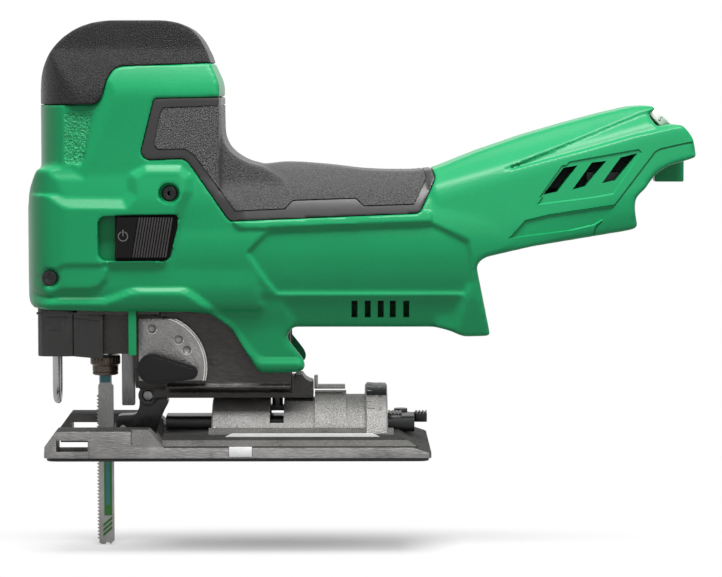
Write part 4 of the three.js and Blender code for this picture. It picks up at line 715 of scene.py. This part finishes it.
# The head cap is soft black rubber, moulded over the top of the head where the palm rests. Its
# skin is finely stippled.
cap_rubber = surface("cap_rubber", (0.022, 0.021, 0.021), (0.002, 0.002, 0.002), 0.3,
                     spread=0.1, grain=2100, bump=1.0, patch=1500, depth=0.0006, specular=0.22)
cap = meet(less(inside(cap_zone, 1.5), swollen(-2.6)), widened(0))
meet(moulded(cap, 0.6, 3, 0.4), block((-87.1, 0), (-32.4, 32.4), (152.3, 188.3)))
piece(cap, "head_cap_cover", "tool", cap_rubber, ["head_cap"])


# Each grip cover is rubber of the same kind, let into the barrel. A narrow groove parts its smooth
# border from the stippled field that the fingers hold.
field = [(-3.6, 152.3), (-32.1, 151.2), (-33.6, 148.6), (-36.4, 135.6), (-34.9, 132.9),
         (-22.7, 133), (-19.3, 130.7), (-1.5, 106.5), (19.9, 107.4), (23.3, 111), (50, 111.9),
         (53.5, 108.7), (75.3, 109.3), (81.0, 120.6), (79.6, 124.5), (79.6, 152.3)]
# The stippled field's colour runs with its relief: the light specks on the crests are painted
# glints on dark rubber.
stippled_rubber = surface("stippled_rubber", (0.16, 0.157, 0.157), (0.006, 0.006, 0.006), 0.36,
                          spread=0.12, grain=2300, bump=1.0, patch=1700, depth=0.001,
                          specular=0.3)
smooth_rubber = surface("smooth_rubber", (0.040, 0.038, 0.038), (0.026, 0.025, 0.025), 0.36,
                        spread=0.05, grain=1800, bump=0.15, patch=60, specular=0.35)
grips = less(inside(grip_zone, 2), swollen(-2.6))
meet(grips, widened(0.2))
moulded(grips, 0.6, 3, 0.5)
groove = less(inside(field, 0.8), inside(shrunk(field, 0.55), 0.8))
less(grips, less(groove, swollen(-0.45)))
for name, side in (("left", -1), ("right", 1)):
    cover = halved(grips, side, 0.12)
    piece(cover, "grip_cover_" + name, "tool", smooth_rubber, ["grip_" + name])
    cover.data.materials.append(stippled_rubber)
    dressed(cover, [(1, shrunk(field, 0.3), 0.3, 40)])
gone(grips)
gone(body)


# Two steel screws close the housing from the left. Their round heads have a cross recess and sit
# in short wells.
black_screw = surface("black_screw", (0.018, 0.018, 0.019), (0.008, 0.008, 0.009), 0.25, 0.2,
                      grain=900, bump=0.15, specular=0.4)
for name, (x, z) in zip(("upper", "lower"), SCREWS):
    head = solid(turned([(-29.2, 2.9), (-29.0, 3.3), (-28.6, 3.5), (-27.3, 3.5), (-27.3, 0.01),
                         (-29.2, 0.01)], (x, 0, z), "y", steps=48))
    screw = union(head, rod("y", 2.0, -27.6, 12.0, (x, z), 32))
    cross = [block((x - u, x + u), (-30, -28.0), (z - v, z + v))
             for u, v in ((2.2, 0.5), (0.5, 2.2))]
    less(screw, *cross, rod("y", 0.95, -30, -27.8, (x, z), 24, 0.95))
    eased(screw, 0.08)
    piece(screw, name + "_housing_screw", "tool", black_screw, [name + "_screw"])


# The gear case is a dark magnesium casting that carries the plunger, gears and roller fork. Its
# foot rail clamps in the saddle, and its lug behind shows the seat of the rail.
case = copied("gear_case")
for side in (-1, 1):
    mark = span(side, 18.6, 19.25)
    for x in (-37.2, -34.9, -32.6):
        add(case, block((x, x + 0.9), mark, (60.9, 63.3), 0.15))
    stud = (-10.6, 41.3)
    add(case, less(solid(rod("y", 1.9, *mark, stud, 32)), rod("y", 1.1, -30, 30, stud)))
    foot = slab([(side * 18.4, 28.6), (side * 19.2, 28.6), (side * 20.3, 29.4),
                 (side * 20.3, 30.4), (side * 18.4, 31.6)], "x", -31.6, 22)
    add(case, solid(foot, block((-31.6, 22), span(side, 7.0, 9.4), (27.0, 29.5))))
less(case, slab([(26.6, 34.6), (28.2, 32.3), (30.2, 31.1), (33, 30.6), (33, 35)], "y", -30, 30))
moulded(case, 0.5, 2, 0.22)
case_metal = surface("case_metal", (0.052, 0.047, 0.043), (0.016, 0.0145, 0.0135), 0.4, 0.35,
                     spread=0.08, grain=700, bump=0.6, patch=55, stretch=(0.5, 1, 1),
                     depth=0.0006)
piece(case, "gear_case_casting", "tool", case_metal, ["gear_case"])


# The nose cover is a black moulding round the plunger's front, with a shallow window on each
# side. The guard wire is one bent rod of bright steel, pressed into it.
cover = copied("nose_cover")
for side in (-1, 1):
    less(cover, block((-85.3, -77.9), span(side, 18.2, 22), (54.6, 59.4)))
for side in (-1, 1):
    add(cover, block((-88.0, -70.4), span(side, 18.6, 19.0), (61.6, 62.6)))
for side in (-1, 1):
    wing = slab([(-72, 43.3), (-64.4, 42.6), (-59.4, 42.4), (-59.4, 61.6), (-72, 61.6)], "y",
                *span(side, 15.4, 18.9))
    add(cover, wing)
    crease = slab([(-86.5, 59.9), (-76, 60.4), (-60.5, 58.4), (-60.5, 59.0), (-76, 61.0),
                   (-86.5, 60.5)], "y", *span(side, 18.5, 20))
    less(cover, crease)
meet(cover, block((-88.0, -59.4), (-19.0, 19.0), (42.4, 64.0)))
eased(cover, 0.4)
cover_plastic = surface("cover_plastic", (0.036, 0.033, 0.032), (0.012, 0.0115, 0.011), 0.42,
                        spread=0.1, grain=420, bump=0.8, patch=80, stretch=(1.8, 1, 0.3),
                        depth=0.0006)
piece(cover, "nose_cover_moulding", "tool", cover_plastic, ["nose_cover"])
wire = copied("guard_wire")
wire.data.shade_smooth()
piece(wire, "finger_guard_wire", "tool", bright_steel, ["guard_wire"], 60)


# The orbit plate is bright pressed steel with three dimples. The black lever turns on its pivot
# and clicks into one dimple after the other.
ORBIT_PIVOT = PIVOT_X, PIVOT_Z = -37.4, 38.7
arc = [(PIVOT_X + 23.3 * math.cos(math.radians(a)),
        min(PIVOT_Z + 23.3 * math.sin(math.radians(a)), 59.9)) for a in range(-14, 67, 4)]
plate = solid(slab([(-43.7, 32.9)] + arc + [(-43.7, 59.9)], "y", -21.2, -19.35))
# The two raised rims of the arc are real; their near-white steel is painted highlight.
rims = union(*[turned([(front, low), (front, high), (-20.5, high), (-20.5, low)],
                      (PIVOT_X, 0, PIVOT_Z), "y", steps=144)
               for front, low, high in ((-21.75, 21.9, 22.5), (-21.5, 22.9, 23.3))])
meet(rims, block((-37, -10), (-30, -10), (33, 59.8)))
for x, z in ((-37.9, 55.5), (-26.4, 50.8), (-22.9, 46.2)):
    well = bmesh.new()
    bmesh.ops.create_uvsphere(well, u_segments=32, v_segments=16, radius=2.4)
    bmesh.ops.translate(well, verts=well.verts, vec=(x, -22.6, z))
    # Under each dimple a half ring of the near-white steel is a painted crescent of highlight.
    crescent_highlight = solid(turned([(-21.5, 1.9), (-21.5, 2.3), (-20.8, 2.3), (-20.8, 1.9)], (x, 0, z), "y",
                       steps=40))
    add(rims, meet(crescent_highlight, block((x - 3, x + 3), (-23, -20), (z - 3, z))))
    less(plate, well)
eased(plate, 0.12)
# Painted highlight: a near-white steel for the rims and for the crescents under the dimples.
painted_rim_highlight = surface("painted_rim_highlight", (0.72, 0.71, 0.69), (0.5, 0.49, 0.48), 0.3, 0.5, grain=900,
                    bump=0.2, patch=120)
piece(eased(rims, 0.05), "orbit_plate_rims", "tool", painted_rim_highlight)
plate_steel = surface("plate_steel", (0.36, 0.35, 0.34), (0.19, 0.185, 0.18), 0.4, 0.6,
                      grain=1100, bump=0.5, patch=120, depth=0.0005)
piece(plate, "orbit_dimple_plate", "tool", plate_steel, ["orbit_plate"])


def teardrop(big, small, reach, lean, steps=20):
    """The outline round a large and a small circle, from the pivot along the lever."""
    turn = math.acos((big - small) / reach)
    points = [(big * math.cos(a), big * math.sin(a))
              for a in [turn + k * (2 * math.pi - 2 * turn) / steps for k in range(steps + 1)]]
    points += [(reach + small * math.cos(a), small * math.sin(a))
               for a in [-turn + k * 2 * turn / steps for k in range(steps + 1)]]
    cos, sin = math.cos(lean), math.sin(lean)
    return [(PIVOT_X + u * cos - v * sin, PIVOT_Z + u * sin + v * cos) for u, v in points]


grip_lever = union(slab(teardrop(6.5, 3.1, 16.4, -0.10), "y", -26.9, -22.3),
                   slab(teardrop(5.1, 1.9, 16.4, -0.10), "y", -28.05, -26.0))
eased(grip_lever, 0.7, 4)
add(grip_lever, rod("y", 2.9, -22.6, -12.3, ORBIT_PIVOT, 40))
lever_black = surface("lever_black", (0.007, 0.007, 0.008), (0.004, 0.004, 0.005), 0.22,
                      grain=1600, bump=0.06, patch=50, spread=0.04, specular=0.22)
piece(grip_lever, "orbit_lever_handle", "orbit_lever", lever_black,
      ["orbit_lever"])


# The plunger is a ground steel rod that runs in two bronze bushes. A yoke round its middle rides
# the crank pin, and the clamp at its foot holds the blade by its shank.
def finished(finish, *names):
    """Gives its finish to each piece that stays as the CAD made it."""
    for name in names:
        nodes[name].data.materials[0] = finish


finished(bright_steel, "plunger_rod", "clamp_body")
oiled_bronze = surface("oiled_bronze", (0.30, 0.17, 0.075), (0.17, 0.095, 0.045), 0.36, 0.9,
                       grain=900, bump=0.15, patch=110)
dark_bronze = surface("dark_bronze", (0.13, 0.10, 0.075), (0.05, 0.038, 0.028), 0.3, 0.6,
                      grain=900, bump=0.18, patch=110, stretch=(1, 1, 4))
finished(oiled_bronze, "lower_bush", "upper_bush")
finished(dark_steel, "plunger_yoke")
sleeve = solid(turned([(33.5, 4.35), (33.5, 5.3), (33.9, 5.7), (34.6, 5.7), (34.8, 5.5),
                       (35.0, 5.5), (35.2, 5.7), (37.6, 5.7), (38.0, 6.2), (38.4, 6.6),
                       (41.5, 6.6), (42.1, 6.2), (42.1, 4.35)], (-60, 0, 0), "z", steps=72))
knurls = []
for k in range(24):
    angle = k * math.pi / 12
    at = (-60 + 6.75 * math.cos(angle), 6.75 * math.sin(angle))
    knurls.append(rod("z", 0.32, 38.8, 41.3, at, 10))
less(sleeve, solid(*knurls))
piece(sleeve, "clamp_twist_sleeve", "clamp_sleeve", dark_bronze, ["clamp_sleeve"])


# The saw blade is punched from thin steel, with its teeth set along the front edge. A coloured
# band and stripe are printed on both faces.
tooth = 1.5
teeth = []
for k in range(43):
    top = 24.0 - k * tooth
    teeth += [(-64.0, top), (-63.1, top - 1.0), (-63.1, top - 1.25)]
edge = [(-57.3, 40.6), (-62.7, 40.6), (-62.7, 29.5), (-63.2, 28.6), (-63.2, 24.6)] + teeth
edge += [(-63.3, -41.4), (-61.9, -42), (-58.2, -42), (-56.5, -40.3), (-56.5, 28.4), (-57.3, 29.5)]
blade = solid(slab(edge, "y", -0.64, 0.64))
less(blade, rod("y", 1.1, -2, 2, (-59.4, -42.2), 24))
blade_steel = surface("blade_steel", (0.44, 0.435, 0.42), (0.25, 0.246, 0.24), 0.4, 0.4,
                      grain=700, bump=0.3, patch=150, stretch=(6, 1, 0.6), depth=0.0003)
piece(blade, "saw_blade_steel", "plunger", blade_steel, ["saw_blade"], 30)
band_teal = surface("band_teal", (0.022, 0.20, 0.24), (0.016, 0.15, 0.19), 0.4, grain=1500,
                    bump=0.08, patch=150)
stripe_green = surface("stripe_green", (0.020, 0.16, 0.012), (0.012, 0.11, 0.008), 0.42,
                       grain=1500, bump=0.08, patch=150)


def printed(name, finish, outlines, thickness=0.04):
    """A print on both faces of the blade, as thin as paint."""
    parts = []
    for outline in outlines:
        for side in (-1, 1):
            parts.append(slab(outline, "y", *span(side, 0.64, 0.65 + thickness)))
    piece(solid(*parts), name, "plunger", finish, sharp=0)


printed("blade_neck_band", band_teal,
        [[(-62.2, 29.9), (-57.8, 29.9), (-57.8, 33.2), (-62.2, 33.2)]])
printed("blade_stripe", stripe_green,
        [[(-60.9, -29.2), (-57.4, -29.2), (-57.4, -1.5), (-60.9, -1.5)]]
        + [[(-61.4, z - 2.0), (-57.4, z + 1.5), (-57.4, z + 2.9), (-61.4, z - 0.6)]
           for z in (-32.4, -34.5, -36.6)])
printed("blade_inner_stripe", band_teal,
        [[(-59.9, -24.5), (-58.5, -24.5), (-58.5, -3.0), (-59.9, -3.0)]], 0.08)


# The roller holder is a forged steel fork that swings on its pin under the gear case. Its grooved
# roller backs the blade, and the push bar behind gives it the orbit stroke.
fork = eased(copied("roller_holder"), 0.35)
fork_steel = surface("fork_steel", (0.032, 0.031, 0.031), (0.018, 0.018, 0.018), 0.35, 0.6,
                     grain=800, bump=0.3, patch=90)
piece(fork, "roller_fork", "holder", fork_steel, ["roller_holder"])
bar_steel = surface("bar_steel", (0.30, 0.30, 0.30), (0.16, 0.16, 0.16), 0.34, 0.6,
                    grain=500, bump=0.15, patch=120, stretch=(4, 4, 0.4))
for stands_for, name, body in (("guide_roller", "guide_roller_wheel", "roller"),
                               ("roller_pin", "roller_axle", "holder"),
                               ("holder_pin", "holder_pivot", "tool")):
    piece(eased(copied(stands_for), 0.25), name, body, bar_steel, [stands_for])
bar = eased(copied("push_bar"), 0.5, 3)
piece(bar, "orbit_push_bar", "push_bar", bar_steel, ["push_bar"])


# The slide switch is a black moulding in an opening of the left half. Its front carries the power
# sign, and close ribs behind it hold the thumb.
button = solid(slab([(-53.0, 87.2), (-30.6, 87.2), (-27.4, 104.3), (-51.6, 104.3)], "y", -33.4,
                    -28.4, 0.9))
rib_pitch = 1.15
starts = [-46.0 + k * rib_pitch for k in range(14)]
less(button, solid(*[slab([(at, 86), (at + 0.5, 86), (at + 3.9, 106), (at + 3.4, 106)], "y",
                          -34, -32.6) for at in starts]))
add(button, block((-53.0, -22.6), (-28.7, -26.8), (82.8, 107.8), 0.3))
switch_black = surface("switch_black", (0.009, 0.008, 0.008), (0.005, 0.0045, 0.0045), 0.4,
                       spread=0.05, grain=1400, bump=0.15, patch=60, specular=0.1)
piece(button, "switch_slider_button", "switch_slider", switch_black,
      ["switch_slider"], 30)
# Painted highlight: a lighter grey on the crests of the thumb ribs, for the light they catch.
painted_rib_highlight = surface("painted_rib_highlight", (0.06, 0.056, 0.056), (0.035, 0.033, 0.033), 0.35, grain=1400,
                    bump=0.1, patch=90, specular=0.2)
button.data.materials.append(painted_rib_highlight)
dressed(button, [(1, [(-45.4, 87.4), (-27, 87.4), (-27, 104.1), (-42.6, 104.1)], 33.38, 34)])
sign = solid(turned([(-33.5, 1.75), (-33.5, 2.2), (-33.3, 2.2), (-33.3, 1.75)], (-49.2, 0, 96.2),
                    "y", steps=48))
less(sign, block((-49.9, -48.5), (-34, -33), (97.2, 99)))
add(sign, block((-49.42, -48.98), (-33.5, -33.3), (96.3, 99.0)))
sign_grey = surface("sign_grey", (0.14, 0.14, 0.14), (0.09, 0.09, 0.09), 0.45, grain=1400,
                    bump=0.05, patch=80)
piece(sign, "switch_power_sign", "switch_slider", sign_grey, sharp=0)


# The speed dial is a white thumbwheel that leans back in a slot of the tail. It has a milled rim
# and a number for each speed.
white_plastic = surface("white_plastic", (0.78, 0.78, 0.76), (0.68, 0.68, 0.66), 0.42,
                        grain=1400, bump=0.06, patch=60)
number_ink = surface("number_ink", (0.03, 0.03, 0.03), (0.02, 0.02, 0.02), 0.5, grain=1500,
                     bump=0.05, patch=80)
wheel = solid(turned([(-2.0, 0.01), (-2.0, 6.6), (-1.6, 7.0), (1.6, 7.0), (2.0, 6.6), (2.0, 0.01)],
                     (0, 0, 0), "z", steps=96))
add(wheel, rod("z", 1.6, -6.0, -1.5, (0, 0), 32))
milling = []
for k in range(48):
    angle = (k + 0.5) * math.pi / 24
    if k % 8 not in (0, 7):
        for level in (-2.1, 1.5):
            at = (7.1 * math.cos(angle), 7.1 * math.sin(angle))
            milling.append(rod("z", 0.25, level, level + 0.6, at, 8))
less(wheel, solid(*milling))
wheel.data.transform(DIAL_SEAT)
piece(wheel, "speed_dial_wheel", "speed_dial", white_plastic, ["speed_dial"])


def lettering(text, height, place, depth=0.06):
    """Plain text as a thin solid, in millimetres, placed by a matrix."""
    curve = bpy.data.curves.new("text", "FONT")
    curve.body, curve.size, curve.extrude = text, height, depth
    curve.align_x = curve.align_y = "CENTER"
    curve.resolution_u = 3
    made = placed("text", curve)
    bpy.context.view_layer.update()
    mesh = bpy.data.meshes.new_from_object(made.evaluated_get(
        bpy.context.evaluated_depsgraph_get()))
    bpy.data.objects.remove(made)
    bpy.data.curves.remove(curve)
    mesh.transform(place)
    bm = bmesh.new()
    bm.from_mesh(mesh)
    bmesh.ops.remove_doubles(bm, verts=bm.verts, dist=0.0005)
    bpy.data.meshes.remove(mesh)
    return bm


digits = []
for k in range(6):
    angle = -math.pi / 2 + (k - 4) * math.pi / 3
    stand = (Matrix.Rotation(angle + math.pi / 2, 4, "Z") @ Matrix.Translation((0, -6.98, 0))
             @ Matrix.Rotation(math.pi / 2, 4, "X"))
    digits.append(lettering(str(k + 1), 3.0, DIAL_SEAT @ stand))
piece(solid(*digits), "speed_dial_numbers", "speed_dial", number_ink, sharp=0)


# The saddle's rear ring is marked in degrees, and the steel pointer on the tool's rail reads them.
light_marks, dark_marks = [], []
for step in range(-6, 7):
    angle = math.radians(7.5 * step)
    long = 3.4 if step % 2 == 0 else 2.0
    high = 29.5 if abs(step) < 4 else 29.2
    line = block((55.2, 55.2 + long), (-0.14, 0.14), (high, high + 0.22))
    bmesh.ops.rotate(line, verts=line.verts, cent=(0, 0, 0), matrix=Matrix.Rotation(angle, 3, "X"))
    (light_marks if abs(step) < 4 else dark_marks).append(line)
for degrees in (-45, -30, -15, 0, 15, 30, 45):
    high = 29.62 if abs(degrees) < 30 else 29.3
    stand = (Matrix.Rotation(math.radians(degrees), 4, "X") @ Matrix.Translation((61.0, 0, high))
             @ Matrix.Rotation(math.pi / 2, 4, "Z"))
    (light_marks if abs(degrees) < 30 else dark_marks).append(
        lettering(str(abs(degrees)), 2.4, stand))
scale_white = surface("scale_white", (0.62, 0.62, 0.60), (0.5, 0.5, 0.49), 0.5, grain=1200,
                      bump=0.08, patch=90)
piece(solid(*light_marks), "bevel_scale_marks_light", "base", scale_white,
      sharp=0)
piece(solid(*dark_marks), "bevel_scale_marks_dark", "base", number_ink, sharp=0)
pointer = eased(copied("angle_pointer"), 0.25)
piece(pointer, "bevel_pointer", "tool", plate_steel, ["angle_pointer"])
finished(dark_steel, "rail_bolt", "clamp_plate")


# Inside, the motor is a laminated stator round a rotor with its fan and ball bearings. The pinion
# on its shaft turns the crank gear, whose pin lifts the yoke.
laminated = surface("laminated_steel", (0.16, 0.155, 0.15), (0.09, 0.088, 0.085), 0.4, 0.8,
                    grain=900, bump=0.35, patch=60, stretch=(9, 0.3, 0.3))
copper = surface("wound_copper", (0.45, 0.20, 0.09), (0.28, 0.11, 0.05), 0.35, 0.9,
                 grain=900, bump=0.3, patch=120, stretch=(0.4, 3, 3))
finished(laminated, "motor_stator")
finished(copper, "rotor_core")
finished(bright_steel, "motor_shaft", "front_bearing", "rear_bearing", "crank_pin")
finished(dark_steel, "crank_gear")
finished(black_plastic, "cooling_fan", "switch_body", "dial_pot", "terminal_block")


# The controller is a potted board behind the motor. The terminal block at the tail's end holds
# four brass blades that meet the battery pack.
potting = surface("potting_green", (0.02, 0.09, 0.05), (0.012, 0.055, 0.03), 0.35, grain=700,
                  bump=0.15, patch=80)
brass = surface("contact_brass", (0.58, 0.42, 0.16), (0.42, 0.30, 0.11), 0.28, 0.95, grain=700,
                bump=0.12, patch=150)
finished(potting, "controller")
for name in ("contact_plus", "contact_signal_a", "contact_signal_b", "contact_minus"):
    blade_pin = meet(copied(name), block((150, 168.4), (-20, 20), (107, 119)))
    piece(eased(blade_pin, 0.2), name + "_blade", "tool", brass, [name])


# The stage is a white floor at the blade tip's level, with one broad lamp high in front, a weaker
# one to fill, and a lens at the picture's place. The floor keeps the tool's soft shadow, but a
# mask sets where and how dark it shows, so that shadow is partly painted.
FLOOR = -0.0424


def seen_white(tree, shown, other, end):
    """One look to the lens, in gloss and through glass, and another as a source of light."""
    path = node(tree, "LightPath", {})
    either = path.outputs["Is Camera Ray"]
    for ray in ("Is Glossy Ray", "Is Transmission Ray"):
        more = node(tree, "Math", {0: either, 1: path.outputs[ray]}, operation="MAXIMUM")
        either = more.outputs[0]
    mix = node(tree, "MixShader", {"Fac": either, 1: other, 2: shown})
    node(tree, tree.nodes[end], {"Surface": mix.outputs["Shader"]})


world = bpy.data.worlds.new("studio")
world.use_nodes = True
bpy.context.scene.world = world
tree = world.node_tree
plain = node(tree, tree.nodes["Background"], {"Color": (1, 1, 1, 1), "Strength": 0.14})
white = node(tree, "Background", {"Color": (1, 1, 1, 1), "Strength": 1.0})
seen_white(tree, white.outputs["Background"], plain.outputs["Background"], "World Output")

floor_mesh = bmesh.new()
bmesh.ops.create_grid(floor_mesh, x_segments=1, y_segments=1, size=3.0)
bmesh.ops.translate(floor_mesh, verts=floor_mesh.verts, vec=(0.05, 0, FLOOR))
floor = solid(floor_mesh)
floor.name = floor.data.name = "floor"
paper = bpy.data.materials.new("paper")
paper.use_nodes = True
tree = paper.node_tree
sheet = node(tree, tree.nodes["Principled BSDF"],
             {"Base Color": (0.92, 0.92, 0.92, 1), "Roughness": 0.9})
glow = node(tree, "Emission", {"Strength": 1.0})
# Painted shadow in part: lit paper, which takes the real shadow, shows only in an ellipse placed
# under the tool and fades into glowing white round it; the lowest mix sets how dark the middle
# gets.
spot = node(tree, "Mapping", {"Vector": node(tree, "TexCoord", {}).outputs["Object"],
                              "Location": (-0.08, -0.1, 0), "Scale": (4.8, 20, 0)})
reach = node(tree, "VectorMath", {0: spot.outputs["Vector"]}, operation="LENGTH")
fade = node(tree, "MapRange", {"Value": reach.outputs["Value"], "From Min": 0.0, "From Max": 1.0,
                               "To Min": 0.3, "To Max": 1.0}, interpolation_type="SMOOTHSTEP")
veil = node(tree, "MixShader", {"Fac": fade.outputs["Result"], 1: sheet.outputs["BSDF"],
                                2: glow.outputs["Emission"]})
dull = node(tree, "BsdfDiffuse", {"Color": (0.3, 0.3, 0.3, 1)})
seen_white(tree, veil.outputs["Shader"], dull.outputs["BSDF"], "Material Output")
floor.data.materials.append(paper)


def lamp(name, place, aim, size, power):
    light = bpy.data.lights.new(name, "AREA")
    light.shape, light.size, light.size_y, light.energy = "RECTANGLE", size[0], size[1], power
    obj = placed(name, light)
    obj.location = place
    obj.rotation_euler = (Vector(aim) - Vector(place)).to_track_quat("-Z", "Y").to_euler()


middle = (0.05, 0.0, 0.09)
lamp("high_lamp", (0.06, -0.33, 0.90), middle, (0.6, 0.4), 14.5)
lamp("front_lamp", (0.25, -1.0, 0.5), middle, (0.5, 0.5), 1.0)

lens = bpy.data.cameras.new("camera")
lens.lens = 134
camera = placed("camera", lens)
camera.location = (0.0434, -1.179, 0.1604)
camera.rotation_euler = (math.pi / 2 - 0.0754, 0, -0.0078)
bpy.context.scene.camera = camera
bpy.context.scene.view_settings.view_transform = "Standard"

for scratch in [o for o in bpy.data.objects if o.name.split(".")[0] in ("solid", "swollen")]:
    gone(scratch)
